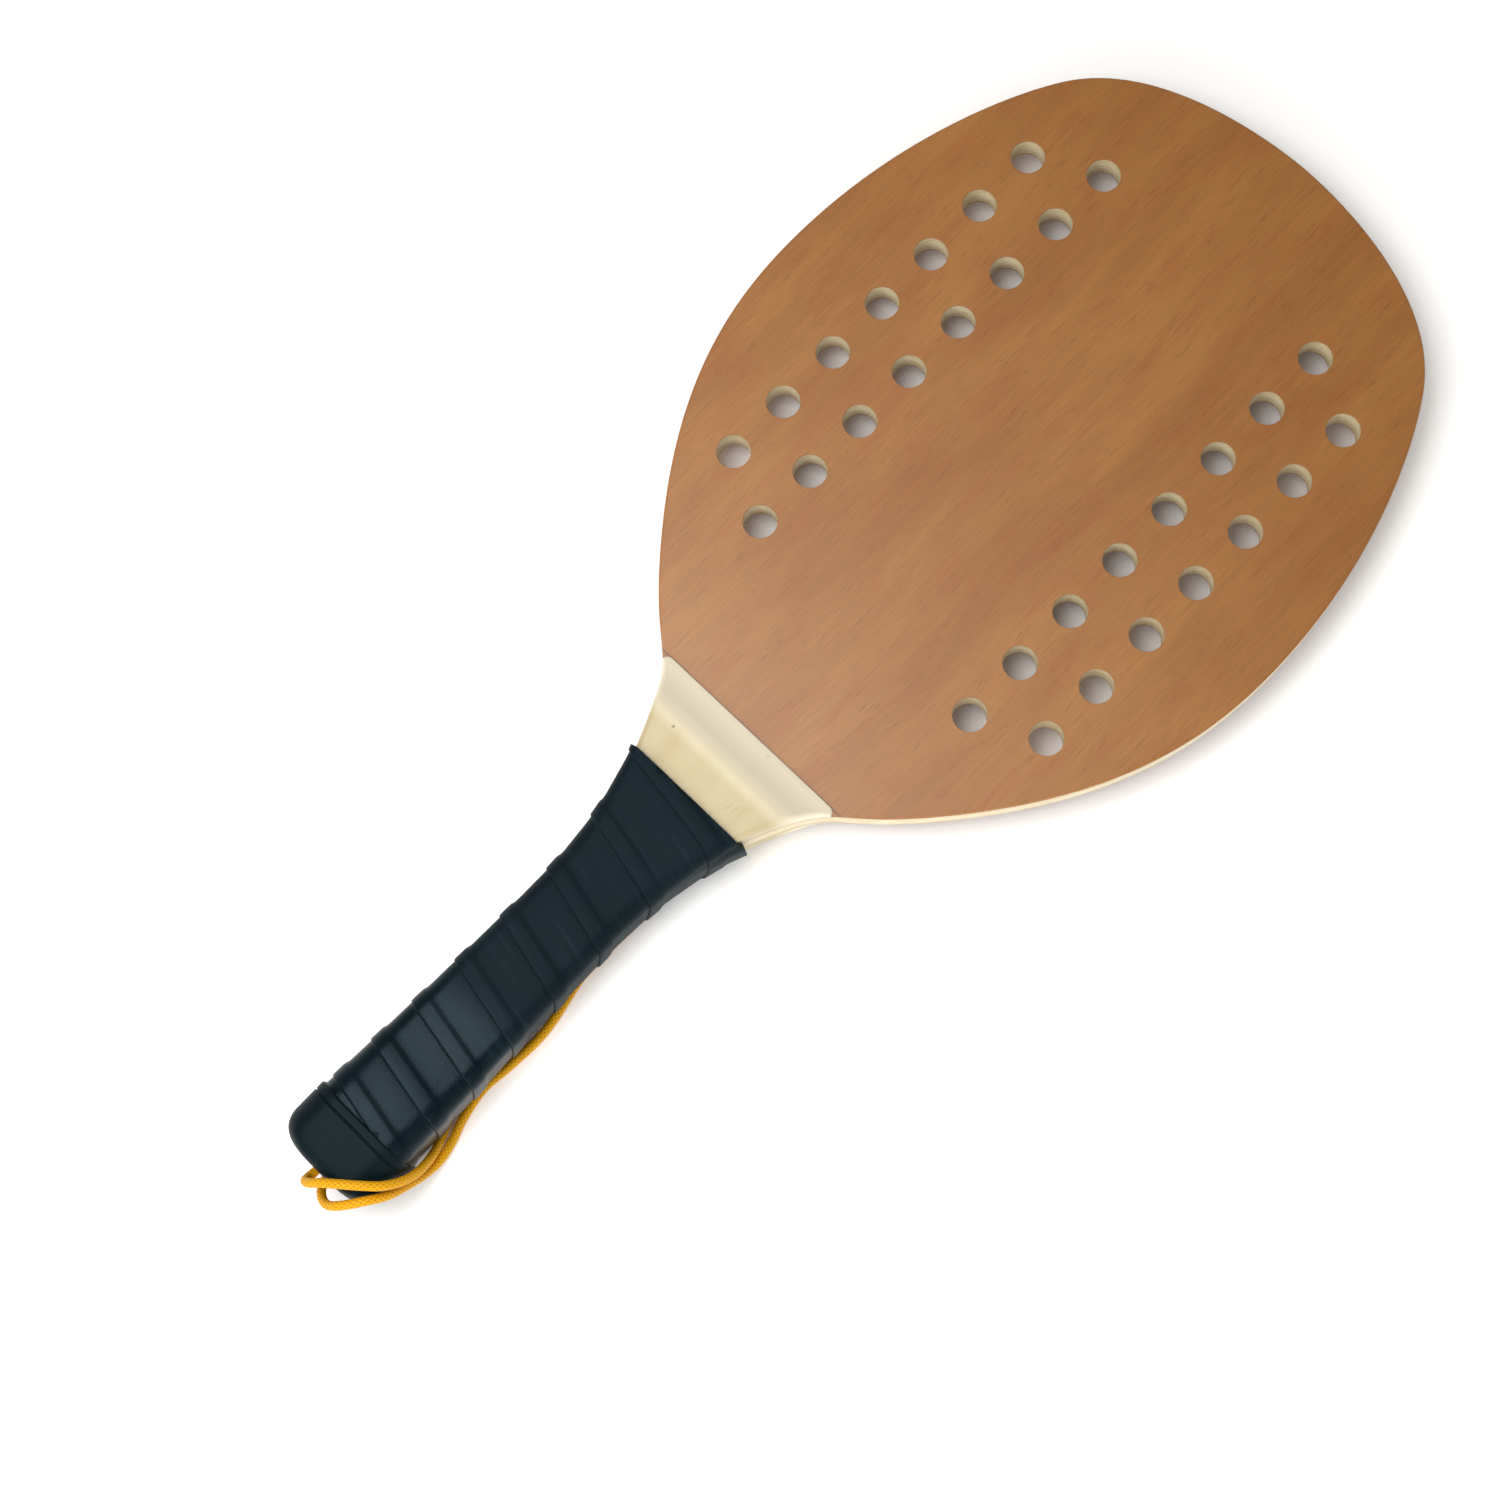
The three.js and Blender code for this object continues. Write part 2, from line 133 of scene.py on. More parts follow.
def newTree(name, values):
    # a Geometry Nodes tree with a named input for each value, what adds a node to it, and its end sockets
    kinds = {int: "Int", float: "Float", bpy.types.Object: "Object", bpy.types.Material: "Material"}
    tree = bpy.data.node_groups.new(name, "GeometryNodeTree")
    tree.interface.new_socket("Geometry", in_out="INPUT", socket_type="NodeSocketGeometry")
    for inputName, value in values.items():
        tree.interface.new_socket(inputName, in_out="INPUT", socket_type="NodeSocket" + kinds[type(value)])
    tree.interface.new_socket("Geometry", in_out="OUTPUT", socket_type="NodeSocketGeometry")
    given, result = tree.nodes.new("NodeGroupInput").outputs, tree.nodes.new("NodeGroupOutput").inputs
    return tree, partial(addNode, tree), given, result


def runTree(piece, tree, values):
    modifier = piece.modifiers.new(tree.name, "NODES")
    modifier.node_group = tree
    sockets = {item.name: item.identifier for item in tree.interface.items_tree if item.in_out == "INPUT"}
    for name, value in values.items():
        modifier[sockets[name]] = value
    piece.update_tag()
    freeze(piece)


def smoothStep(value, low, high):
    share = min(max((value - low) / (high - low), 0), 1)
    return share * share * (3 - 2 * share)


# the wood's shape, in millimetres
wood = {
    "middle": 15,  # height of the blade's mid-plane above the ground
    "buttEnd": -223.7,
    "tangEnd": -218.8,
    "capTop": -203.7,
    "narrowest": -114.7,
    "gripTop": -63.5,
    "bladeStart": -35,
    "edge": (
        ((0, 223.7), (10.9, 223.7), (59, 221.63), (77.87, 192.91)),
        ((77.87, 192.91), (87.09, 178.94), (104.8, 141.43), (104.8, 92.54)),
        ((104.8, 92.54), (104.8, 62.01), (97.57, 31.23), (67.28, -6.28)),
        ((67.28, -6.28), (36.47, -44.31), (36.58, -26.79), (21.9, -63.5)),
        ((21.9, -63.5), (17.56, -74.35), (14.1, -94.73), (14.1, -114.7)),
        ((14.1, -114.7), (14.1, -144.07), (15.42, -174.33), (16.3, -203.7)),
    ),
    "edgeSteps": 40,  # on each of those curves
    "tangCorner": 6.1,  # plan corner of the tang's end
    "tangRim": 1.8,
    "halfBlade": 5,
    "halfThroat": 12.2,
    "halfWaist": 9.7,
    "halfButt": 12.6,
    "lip": 0.8,  # the scale's front edge above the veneer
    "rampLength": 12,
    "crestSoft": 0.22,  # how far the sanded crest of the ramp is rounded, as a share of its length
    "hollowLength": 34.2,
    "flareHeight": 56,
    "capLength": 20,
    "edgeRadii": (2.2, 4.4, 6.6),  # throat, waist and butt
    "edgeLimit": 0.9,  # an edge's radius at most, as a share of the scale's height
    "clearance": 0.3,
}


def edgeLine():
    line, steps = [Vector((0, wood["edge"][0][0][1]))], wood["edgeSteps"]
    for curve in wood["edge"]:
        knots = [Vector(point) for point in curve]
        line += [Vector(p[:2]) for p in interpolate_bezier(*knots, steps + 1)[1:]]
    return line


fineEdge = edgeLine()


def quarterTurn(steps):
    # how far a rounded edge has come in and gone down at each step round it, as shares of its radius
    angles = [math.pi / 2 * i / steps for i in range(steps + 1)]
    return [(1 - math.cos(a), 1 - math.sin(a)) for a in angles]


def cornerShortfall(radius, distance):
    left = max(radius - distance, 0)
    return radius - math.sqrt(radius * radius - left * left)


def woodHalfWidth(y):
    if y <= wood["capTop"]:
        return wood["edge"][-1][3][0] - cornerShortfall(wood["tangCorner"], max(y - wood["tangEnd"], 0))
    for upper, lower in zip(fineEdge, fineEdge[1:]):
        if lower.y <= y:
            return lower.x + (upper.x - lower.x) * (y - lower.y) / (upper.y - lower.y)
    return fineEdge[-1].x


def hollowAndFlare(y):
    hollow = smoothStep(wood["gripTop"] - y, 0, wood["hollowLength"])
    flareLength = wood["flareHeight"] - wood["capLength"]
    return hollow, smoothStep(wood["buttEnd"] + wood["flareHeight"] - y, 0, flareLength)


def woodHalfThickness(y):
    soft = wood["crestSoft"]
    climb = min((wood["bladeStart"] - y) / wood["rampLength"], 1 + soft)
    climb -= max(climb - 1 + soft, 0) ** 2 / (4 * soft)
    front = wood["halfBlade"] + wood["lip"]
    ramp = front + (wood["halfThroat"] - front) * climb * (climb + 1) / 2
    hollow, flare = hollowAndFlare(y)
    waist = ramp + (wood["halfWaist"] - ramp) * hollow
    butt = waist + (wood["halfButt"] - waist) * flare
    return butt - cornerShortfall(wood["tangRim"], max(y - wood["tangEnd"], 0))


def woodEdgeRadius(y):
    throat, waist, butt = wood["edgeRadii"]
    hollow, flare = hollowAndFlare(y)
    radius = throat + (waist - throat) * hollow
    radius += (butt - radius) * flare
    return min(radius, (woodHalfThickness(y) - wood["halfBlade"]) * wood["edgeLimit"])


def quarterArc(halfWidth, halfHeight, radius, steps):
    x, z = halfWidth - radius, halfHeight - radius
    angles = [math.pi / 2 * i / steps for i in range(steps + 1)]
    return [(x + radius * math.cos(a), z + radius * math.sin(a)) for a in angles]


def roundedSection(halfWidth, halfHeight, radius, steps):
    # runs from the right side over the front and round below
    right = quarterArc(halfWidth, halfHeight, radius, steps)
    upper = right + [(-x, z) for x, z in reversed(right)]
    return upper + [(x, -z) for x, z in reversed(upper)]


def handleSection(y, growth, steps):
    sizes = (woodHalfWidth(y), woodHalfThickness(y), woodEdgeRadius(y))
    return roundedSection(*(size + growth for size in sizes), steps)


def lifted(x, y, z):
    return Vector((x * mm, y * mm, (wood["middle"] + z) * mm))


def loftRings(rings, joinEnds=False):
    # faces between rings of the same count, as vertices and polygons, with the ends closed or joined
    count = len(rings[0])
    verts = [point for ring in rings for point in ring]
    faces = []
    for ring in range(len(rings) if joinEnds else len(rings) - 1):
        here, following = ring * count, (ring + 1) % len(rings) * count
        for i in range(count):
            j = (i + 1) % count
            faces.append((here + i, here + j, following + j, following + i))
    if not joinEnds:
        faces.append(tuple(reversed(range(count))))
        faces.append(tuple(range((len(rings) - 1) * count, len(rings) * count)))
    return verts, faces


cord = {
    "diameter": 3,
    "sides": 32,
    "ringStep": 0.32,
    "curveSteps": 40,  # between two points of the route
    "pathEvery": 4,  # rings from one point of the stated path to the next
    "strands": 6,  # yarn bundles that run each way round
    "braidPitch": 11,  # one full turn of a bundle
    "relief": 0.08,
    "sharpAngle": 60,
    # across, height above the butt end, height above the ground
    "route": (
        (-1.8, 4.6, 15), (-1.8, 1.6, 15), (-1.8, -1.4, 15.7), (-1.7, -3.9, 17.9), (-1, -5, 21.8),
        (1.1, -4.2, 26.3), (4.2, -1.4, 30), (9, 2.6, 32), (14, 6.8, 32), (18.2, 10.8, 29.6), (20.6, 15, 24.6),
        (21.2, 19.2, 17.6), (20.3, 23.6, 10.6), (18.9, 27.2, 5.6), (16.9, 31.4, 2.4), (14.5, 37.6, 1.65),
        (10.4, 54, 1.55), (-0.4, 106, 1.55), (-3.4, 120.6, 1.55), (-1.4, 126, 1.55), (3.75, 128.3, 1.55),
        (8.9, 126, 1.55), (10.9, 120.6, 1.55), (12.6, 99, 1.55), (16.7, 77, 1.55), (16.3, 62, 1.55),
        (15.4, 51.4, 1.55), (17.3, 40.6, 1.6), (20.1, 32.4, 1.75), (21.6, 26.4, 3.3), (21.9, 20.8, 7.4),
        (21.4, 14.6, 15), (20.4, 9.2, 23), (17.4, 3.8, 27.8), (12.9, -2.3, 26.5), (9.5, -5.2, 22.6),
        (6.4, -5.6, 18.8), (3.6, -4.1, 16.2), (1.9, -0.8, 15), (1.8, 4.6, 15),
    ),
}


def smoothRoute(points, step):
    # a centripetal curve through the points, then even steps along it
    points = [Vector(p) for p in points]
    padded = [2 * points[0] - points[1]] + points + [2 * points[-1] - points[-2]]
    dense = []
    for p0, p1, p2, p3 in zip(padded, padded[1:], padded[2:], padded[3:]):
        d0, d1, d2 = (math.sqrt((b - a).length) for a, b in ((p0, p1), (p1, p2), (p2, p3)))
        t1 = ((p1 - p0) / d0 - (p2 - p0) / (d0 + d1) + (p2 - p1) / d1) * d1
        t2 = ((p2 - p1) / d1 - (p3 - p1) / (d1 + d2) + (p3 - p2) / d2) * d1
        for i in range(cord["curveSteps"]):
            s = i / cord["curveSteps"]
            bend = (3 * (p2 - p1) - 2 * t1 - t2) * s * s
            dense.append(p1 + t1 * s + bend + (2 * (p1 - p2) + t1 + t2) * s**3)
    dense.append(points[-1])
    travelled = [0]
    for a, b in zip(dense, dense[1:]):
        travelled.append(travelled[-1] + (b - a).length)
    count = round(travelled[-1] / step)
    even, at = [], 0
    for i in range(count + 1):
        wanted = travelled[-1] * i / count
        while at < len(travelled) - 2 and travelled[at + 1] < wanted:
            at += 1
        share = (wanted - travelled[at]) / (travelled[at + 1] - travelled[at])
        even.append(dense[at].lerp(dense[at + 1], share))
    return even, travelled[-1]


def braidedTube(name, path, diameter, sides):
    # rings carried along without twist, with the crossing bundles raised, and a map in metres for the yarn
    strands, pitch, relief = cord["strands"], cord["braidPitch"] * mm, cord["relief"] * mm
    tangents = [(b - a).normalized() for a, b in zip(path[:1] + path[:-1], path[1:] + path[-1:])]
    side = tangents[0].orthogonal().normalized()
    rings, run = [], 0
    for i, (point, along) in enumerate(zip(path, tangents)):
        side = (side - along * side.dot(along)).normalized()
        other = along.cross(side)
        run += (point - path[i - 1]).length if i else 0
        phase = 2 * math.pi * run / pitch
        ring = []
        for k in range(sides):
            angle = 2 * math.pi * k / sides
            crest = max(math.cos(strands * (angle + phase)), math.cos(strands * (angle - phase)))
            height = diameter / 2 - relief * 0.5 + relief * 0.5 * crest
            ring.append(point + (side * math.cos(angle) + other * math.sin(angle)) * height)
        rings.append(ring)
    piece = newPiece(name, *loftRings(rings), sharpAngle=cord["sharpAngle"])
    chart = piece.data.uv_layers.new(name="yarnMap")
    stepLength = (path[1] - path[0]).length
    wallFaces = (len(path) - 1) * sides
    for polygon in piece.data.polygons:
        lastSide = polygon.index < wallFaces and polygon.index % sides == sides - 1
        for corner, vertex in zip(polygon.loop_indices, polygon.vertices):
            ringIndex, k = divmod(vertex, sides)
            turn = 1 if lastSide and k == 0 else k / sides
            chart.data[corner].uv = (turn * math.pi * diameter, ringIndex * stepLength)
    return piece


def makeCord():
    route = [Vector((x, wood["buttEnd"] + rise, z)) * mm for x, rise, z in cord["route"]]
    path, length = smoothRoute(route, cord["ringStep"] * mm)
    diameter = cord["diameter"] * mm
    piece = braidedTube("wristCordBraid", path, diameter, cord["sides"])
    wear(piece, braidedPolyester, "cord_yarn", "wrist_cord")
    print(f"cord: {length / mm:.1f} mm")


def newMaterial(name):
    material = bpy.data.materials.new(name)
    material.use_nodes = True
    material.node_tree.nodes.clear()
    return material, partial(addNode, material.node_tree)


def woodMaterial(look):
    # long fibres along the piece, slow bands of tone, short open pores, and thin varnish over all
    material, add = newMaterial(look["name"])
    place = add("TexCoord").outputs["Object"]
    quarter = math.pi / 2 if look["crossed"] else 0
    turned = add("Mapping", {"Rotation": (0, 0, quarter)}, {"Vector": place})
    waves = {"Scale": 1 / (look["driftSize"] * mm), "Detail": 2.0, "Roughness": 0.4}
    drift = add("TexNoise", waves, {"Vector": turned})
    reach = look["drift"] * mm
    shift = {1: (reach, 0, 0), 2: (-reach / 2, 0, 0)}
    push = add("VectorMath:MULTIPLY_ADD", shift, {0: drift.outputs["Color"]})
    bent = add("VectorMath:ADD", links={0: turned, 1: push})
    found = {}
    for layer, (width, length, detail, seed) in look["layers"].items():
        narrow, long = 1 / (width * mm), 1 / (length * mm)
        spread = {"Scale": (narrow, long, narrow), "Location": (seed, seed * 0.7, seed * 0.3)}
        stretched = add("Mapping", spread, {"Vector": bent})
        grain = {"Scale": 1.0, "Detail": detail, "Roughness": 0.55}
        found[layer] = add("TexNoise", grain, {"Vector": stretched})

    tone = add("MapRange", {"From Min": 0.35, "From Max": 0.65}, {"Value": found["bands"]})
    colour = add("Mix", {"data_type": "RGBA", 6: linear(look["dark"]), 7: linear(look["light"])}, {0: tone})
    figure = {"From Min": 0.48, "From Max": 0.68, "To Max": look["figure"]}
    blush = add("MapRange", figure, {"Value": found["figure"]})
    colour = add("Mix", {"data_type": "RGBA", 7: linear(look["blush"])}, {0: blush, 6: colour.outputs[2]})
    lines = {"From Min": 0.35, "From Max": 0.65, "To Min": 1 - look["fibre"],
             "To Max": 1 + look["fibre"] * 0.6}
    fibre = add("MapRange", lines, {"Value": found["fibres"]})
    colour = add("VectorMath:SCALE", links={0: colour.outputs[2], "Scale": fibre}).outputs[0]
    openings = {"From Min": look["poreFrom"], "From Max": look["poreFrom"] + 0.08, "To Max": look["pore"]}
    openPores = add("MapRange", openings, {"Value": found["pores"]})
    overlays = [(openPores, look["poreColour"])]
    overlays += [(markAmount(add, place, mark), mark[-1]) for mark in look.get("marks", ())]
    overlays += [(amount, look["joints"]["colour"]) for amount in jointAmounts(add, place, look["joints"])]
    for amount, shade in overlays:
        colour = add("Mix", {"data_type": "RGBA", 7: linear(shade)}, {0: amount, 6: colour}).outputs[2]

    smooth, rough = look["roughness"]
    roughness = add("MapRange", {"To Min": smooth, "To Max": rough}, {"Value": found["fibres"]})
    sunk = add("Math:MULTIPLY_ADD", {1: -look["poreDepth"]}, {0: openPores, 2: found["fibres"]})
    bump = add("Bump", {"Strength": look["bump"], "Distance": 0.06 * mm}, {"Height": sunk})
    varnish = {"IOR": 1.5, "Specular Tint": linear(look["sheen"]), "Coat Weight": look["coat"],
               "Coat Roughness": look["coatRoughness"]}
    shader = add("BsdfPrincipled", varnish, {"Base Color": colour, "Roughness": roughness, "Normal": bump})
    add("OutputMaterial", links={"Surface": shader})
    return material


def markAmount(add, place, mark):
    # a soft spot of another tone on the face, turned and drawn out in millimetres
    x, y, turn, width, length, depth, colour = mark
    away = add("VectorMath:SUBTRACT", {1: (x * mm, y * mm, 0)}, {0: place})
    turned = add("Mapping", {"Rotation": (0, 0, math.radians(turn))}, {"Vector": away})
    size = (1 / (width * mm), 1 / (length * mm), 0)
    flat = add("VectorMath:MULTIPLY", {1: size}, {0: turned})
    reach = add("VectorMath:LENGTH", links={0: flat}).outputs["Value"]
    return add("MapRange", {"From Min": 0.45, "To Min": depth, "To Max": 0.0}, {"Value": reach})


def jointAmounts(add, place, lines):
    # thin dark lines at set places along one axis: glue lines where two pieces of wood meet, and on the
    # veneer a painted shadow at the foot of the handle scale
    along = add("SeparateXYZ", links={"Vector": place}).outputs[lines["axis"]]
    fade = {"From Min": 0.0, "From Max": lines["width"] * mm, "To Min": lines["depth"], "To Max": 0.0}
    amounts = []
    for level in lines["levels"]:
        gap = add("Math:SUBTRACT", {1: level * mm}, {0: along})
        far = add("Math:ABSOLUTE", links={0: gap})
        amounts.append(add("MapRange", fade, {"Value": far}))
    return amounts


# each layer of a wood: its width and length in millimetres, its detail and its seed

# sliced okoume under clear satin varnish: warm orange tan with soft rosy clouds, fine straight grain
# and a broad sheen
okoumeVeneer = woodMaterial({
    "name": "varnishedOkoumeVeneer", "crossed": False,
    "dark": "#9f652c", "light": "#ac7236", "blush": "#a15826", "poreColour": "#6e3f20",
    "driftSize": 70, "drift": 8, "figure": 0.38, "fibre": 0.08,
    "poreFrom": 0.63, "pore": 0.32, "poreDepth": 0.6,
    "layers": {"bands": (20, 95, 2.0, 0), "figure": (7, 24, 3.0, 5),
               "fibres": (0.6, 16, 3.0, 11), "pores": (0.42, 6, 1.0, 23)},
    "roughness": (0.38, 0.46), "bump": 0.35, "coat": 0.7, "coatRoughness": 0.36, "sheen": "#fff4e4",
    # a painted shadow: a thin dark line on the veneer at the foot of the handle scale, where the scale's step
    # shades it
    "joints": {"axis": "Y", "levels": (-34.9,), "width": 0.6, "depth": 0.7, "colour": "#4a2c16"},
})

# poplar, sanded and varnished at the blade's edge: pale, even and nearly dull, with thin glue lines
poplar = {
    "driftSize": 40, "drift": 3, "poreFrom": 0.68, "poreDepth": 0.6,
    "roughness": (0.45, 0.6), "bump": 0.5, "coat": 0.12, "coatRoughness": 0.35, "sheen": "#fff4e2",
}
glueLine = {"axis": "Z", "width": 0.14, "depth": 0.45, "colour": "#8a6a40"}

# the crossed plies are rotary cut, and a little darker
poplarCrossband = woodMaterial({
    **poplar, "name": "sandedPoplarCrossband", "crossed": True,
    "dark": "#d9c79d", "light": "#e9dbb6", "blush": "#c4a876", "poreColour": "#97794c",
    "figure": 0.3, "fibre": 0.07, "pore": 0.3,
    "layers": {"bands": (6, 60, 2.0, 0), "figure": (1.4, 16, 3.0, 5),
               "fibres": (0.35, 9, 3.0, 11), "pores": (0.4, 1.6, 1.0, 23)},
    "joints": {**glueLine, "levels": (10.6, 12.8, 17.2, 19.4)},
})

# the middle ply and the tang, with the grain along the racket
poplarCore = woodMaterial({
    **poplar, "name": "sandedPoplarCore", "crossed": False,
    "dark": "#e2d2aa", "light": "#f0e4c4", "blush": "#cfb686", "poreColour": "#a08356",
    "figure": 0.25, "fibre": 0.06, "pore": 0.25,
    "layers": {"bands": (7, 90, 2.0, 0), "figure": (1.8, 22, 3.0, 5),
               "fibres": (0.4, 14, 3.0, 11), "pores": (0.4, 2.4, 1.0, 23)},
    "joints": {**glueLine, "levels": (12.8, 17.2)},
})

# limewood block, sanded smooth: even cream, hardly any grain, one pin knot and a few short darker fibres
limewoodScale = woodMaterial({
    "name": "sandedLimewood", "crossed": False,
    "dark": "#c1ae80", "light": "#cbbb92", "blush": "#c6ab70", "poreColour": "#b39a66",
    "driftSize": 60, "drift": 6, "figure": 0.3, "fibre": 0.022,
    "poreFrom": 0.74, "pore": 0.2, "poreDepth": 0.5,
    "layers": {"bands": (13, 90, 2.0, 0), "figure": (8, 20, 3.0, 5),
               "fibres": (0.5, 18, 3.0, 11), "pores": (0.4, 2.2, 1.0, 23)},
    "roughness": (0.42, 0.55), "bump": 0.3, "coat": 0.5, "coatRoughness": 0.36, "sheen": "#fff0d8",
    "joints": {**glueLine, "levels": (10, 20), "width": 0.16, "depth": 0.5},
    # across, along, turn, width, length, depth and colour of each mark: the first is a painted highlight, a
    # pale band over the ramp, where the light catches it brighter
    "marks": (
        (0, -40, 0, 400, 13, 0.92, "#f4e8cd"),
        (-17.5, -51, 20, 0.55, 0.8, 0.7, "#5b4526"),
        (12.6, -57.2, 14, 0.5, 2.6, 0.25, "#a3874f"),
        (14.9, -56.1, 14, 0.5, 3.0, 0.28, "#a3874f"),
        (16.8, -55.2, 14, 0.4, 1.8, 0.22, "#a3874f"),
        (9.5, -36.8, 10, 0.7, 1.0, 0.2, "#a3874f"),
    ),
})


def tapeMaterial():
    # polyurethane grip tape with a fine leather emboss: blue black and dull, and rubbed smooth near the butt,
    # where it has a grey sheen
    look = {
        "grain": 0.55, "fine": 0.25, "cloud": 16, "rubWidth": 2.2, "rubLength": 30,
        "dark": "#071015", "light": "#0d1b22", "scuff": "#22343b",
        "smoothBelow": -160, "dullAbove": -148, "smooth": 0.26, "dull": 0.5, "tint": "#c8e6f0",
    }
    material, add = newMaterial("embossedPolyurethaneTape")
    chart = add("UVMap", {"uv_map": "tapeMap"})
    place = add("TexCoord").outputs["Object"]
    emboss = {"feature": "SMOOTH_F1", "Scale": 1 / (look["grain"] * mm), "Smoothness": 0.5}
    cells = add("TexVoronoi", emboss, {"Vector": place}).outputs["Distance"]
    fine = add("TexNoise", {"Scale": 1 / (look["fine"] * mm), "Detail": 2.0}, {"Vector": place})
    soft = {"Scale": 1 / (look["cloud"] * mm), "Detail": 3.0, "Roughness": 0.6}
    cloud = add("TexNoise", soft, {"Vector": place})
    strokes = (1 / (look["rubLength"] * mm), 1 / (look["rubWidth"] * mm), 1)
    along = add("Mapping", {"Scale": strokes}, {"Vector": chart})
    rubbed = add("TexNoise", {"Scale": 1.0, "Detail": 3.0, "Roughness": 0.6}, {"Vector": along})
    black = {"data_type": "RGBA", 6: linear(look["dark"]), 7: linear(look["light"])}
    colour = add("Mix", black, {0: cloud}).outputs[2]
    scuff = add("MapRange", {"From Min": 0.56, "From Max": 0.75, "To Max": 0.3}, {"Value": rubbed})
    worn = add("Mix", {"data_type": "RGBA", 7: linear(look["scuff"])}, {0: scuff, 6: colour}).outputs[2]

    handle = add("SeparateXYZ", links={"Vector": place}).outputs["Y"]
    wear = {"From Min": look["smoothBelow"] * mm, "From Max": look["dullAbove"] * mm,
            "To Min": look["smooth"], "To Max": look["dull"]}
    dull = add("MapRange", wear, {"Value": handle})
    rough = add("Math:MULTIPLY_ADD", {1: 0.12}, {0: cloud, 2: dull})
    height = add("Math:MULTIPLY_ADD", {1: 0.35}, {0: fine, 2: cells})
    bump = add("Bump", {"Strength": 0.28, "Distance": 0.12 * mm}, {"Height": height})
    gloss = {"IOR": 1.5, "Specular IOR Level": 0.15, "Specular Tint": linear(look["tint"])}
    shader = add("BsdfPrincipled", gloss, {"Base Color": worn, "Roughness": rough, "Normal": bump})
    add("OutputMaterial", links={"Surface": shader})
    return material


def capMaterial():
    # injection moulded thermoplastic rubber: black and satin, with a fine spark eroded texture
    look = {"grit": 0.3, "cloud": 9, "dark": "#071115", "light": "#0d1a1f", "tint": "#c8e6f0"}
    material, add = newMaterial("mouldedThermoplasticRubber")
    place = add("TexCoord").outputs["Object"]
    grit = add("TexNoise", {"Scale": 1 / (look["grit"] * mm), "Detail": 2.0}, {"Vector": place})
    cloud = add("TexNoise", {"Scale": 1 / (look["cloud"] * mm), "Detail": 3.0}, {"Vector": place})
    black = {"data_type": "RGBA", 6: linear(look["dark"]), 7: linear(look["light"])}
    colour = add("Mix", black, {0: cloud}).outputs[2]
    rough = add("MapRange", {"To Min": 0.42, "To Max": 0.56}, {"Value": cloud})
    bump = add("Bump", {"Strength": 0.35, "Distance": 0.06 * mm}, {"Height": grit})
    gloss = {"IOR": 1.5, "Specular IOR Level": 0.12, "Specular Tint": linear(look["tint"])}
    shader = add("BsdfPrincipled", gloss, {"Base Color": colour, "Roughness": rough, "Normal": bump})
    add("OutputMaterial", links={"Surface": shader})
    return material


def cordMaterial():
    # braided polyester: golden yellow yarn bundles that cross, with painted shade in the gaps between them
    look = {"yarnWidth": 0.16, "yarnLength": 0.9, "gap": "#cf8408", "crest": "#eab00e"}
    material, add = newMaterial("braidedPolyesterCord")
    chart = add("UVMap", {"uv_map": "yarnMap"})
    parts = add("SeparateXYZ", links={"Vector": chart}).outputs
    around = cord["strands"] * 2 / (cord["diameter"] * mm)
    along = cord["strands"] * 2 * math.pi / (cord["braidPitch"] * mm)
    turn = add("Math:MULTIPLY", {1: around}, {0: parts["X"]})
    waves = []
    for way in (1, -1):
        phase = add("Math:MULTIPLY_ADD", {1: along * way}, {0: parts["Y"], 2: turn})
        waves.append(add("Math:COSINE", links={0: phase}))
    crest = add("Math:MAXIMUM", links={0: waves[0], 1: waves[1]})
    # painted shade and light: darker in the gaps between the raised bundles, lighter on their crests
    lit = add("MapRange", {"From Min": -0.4}, {"Value": crest})
    threads = (1 / (look["yarnWidth"] * mm), 1 / (look["yarnLength"] * mm), 1)
    fine = add("Mapping", {"Scale": threads}, {"Vector": chart})
    yarn = add("TexNoise", {"Scale": 1.0, "Detail": 2.0}, {"Vector": fine})
    gold = {"data_type": "RGBA", 6: linear(look["gap"]), 7: linear(look["crest"])}
    colour = add("Mix", gold, {0: lit}).outputs[2]
    fleck = add("MapRange", {"To Min": 0.88, "To Max": 1.1}, {"Value": yarn})
    tint = add("VectorMath:SCALE", links={0: colour, "Scale": fleck})
    rough = add("MapRange", {"To Min": 0.5, "To Max": 0.68}, {"Value": yarn})
    bump = add("Bump", {"Strength": 0.4, "Distance": 0.1 * mm}, {"Height": yarn})
    shader = add("BsdfPrincipled", {"Specular IOR Level": 0.2},
                 {"Base Color": tint, "Roughness": rough, "Normal": bump})
    add("OutputMaterial", links={"Surface": shader})
    return material


polyurethaneTape = tapeMaterial()
capRubber = capMaterial()
braidedPolyester = cordMaterial()
print("materials: 7")

makeCord()

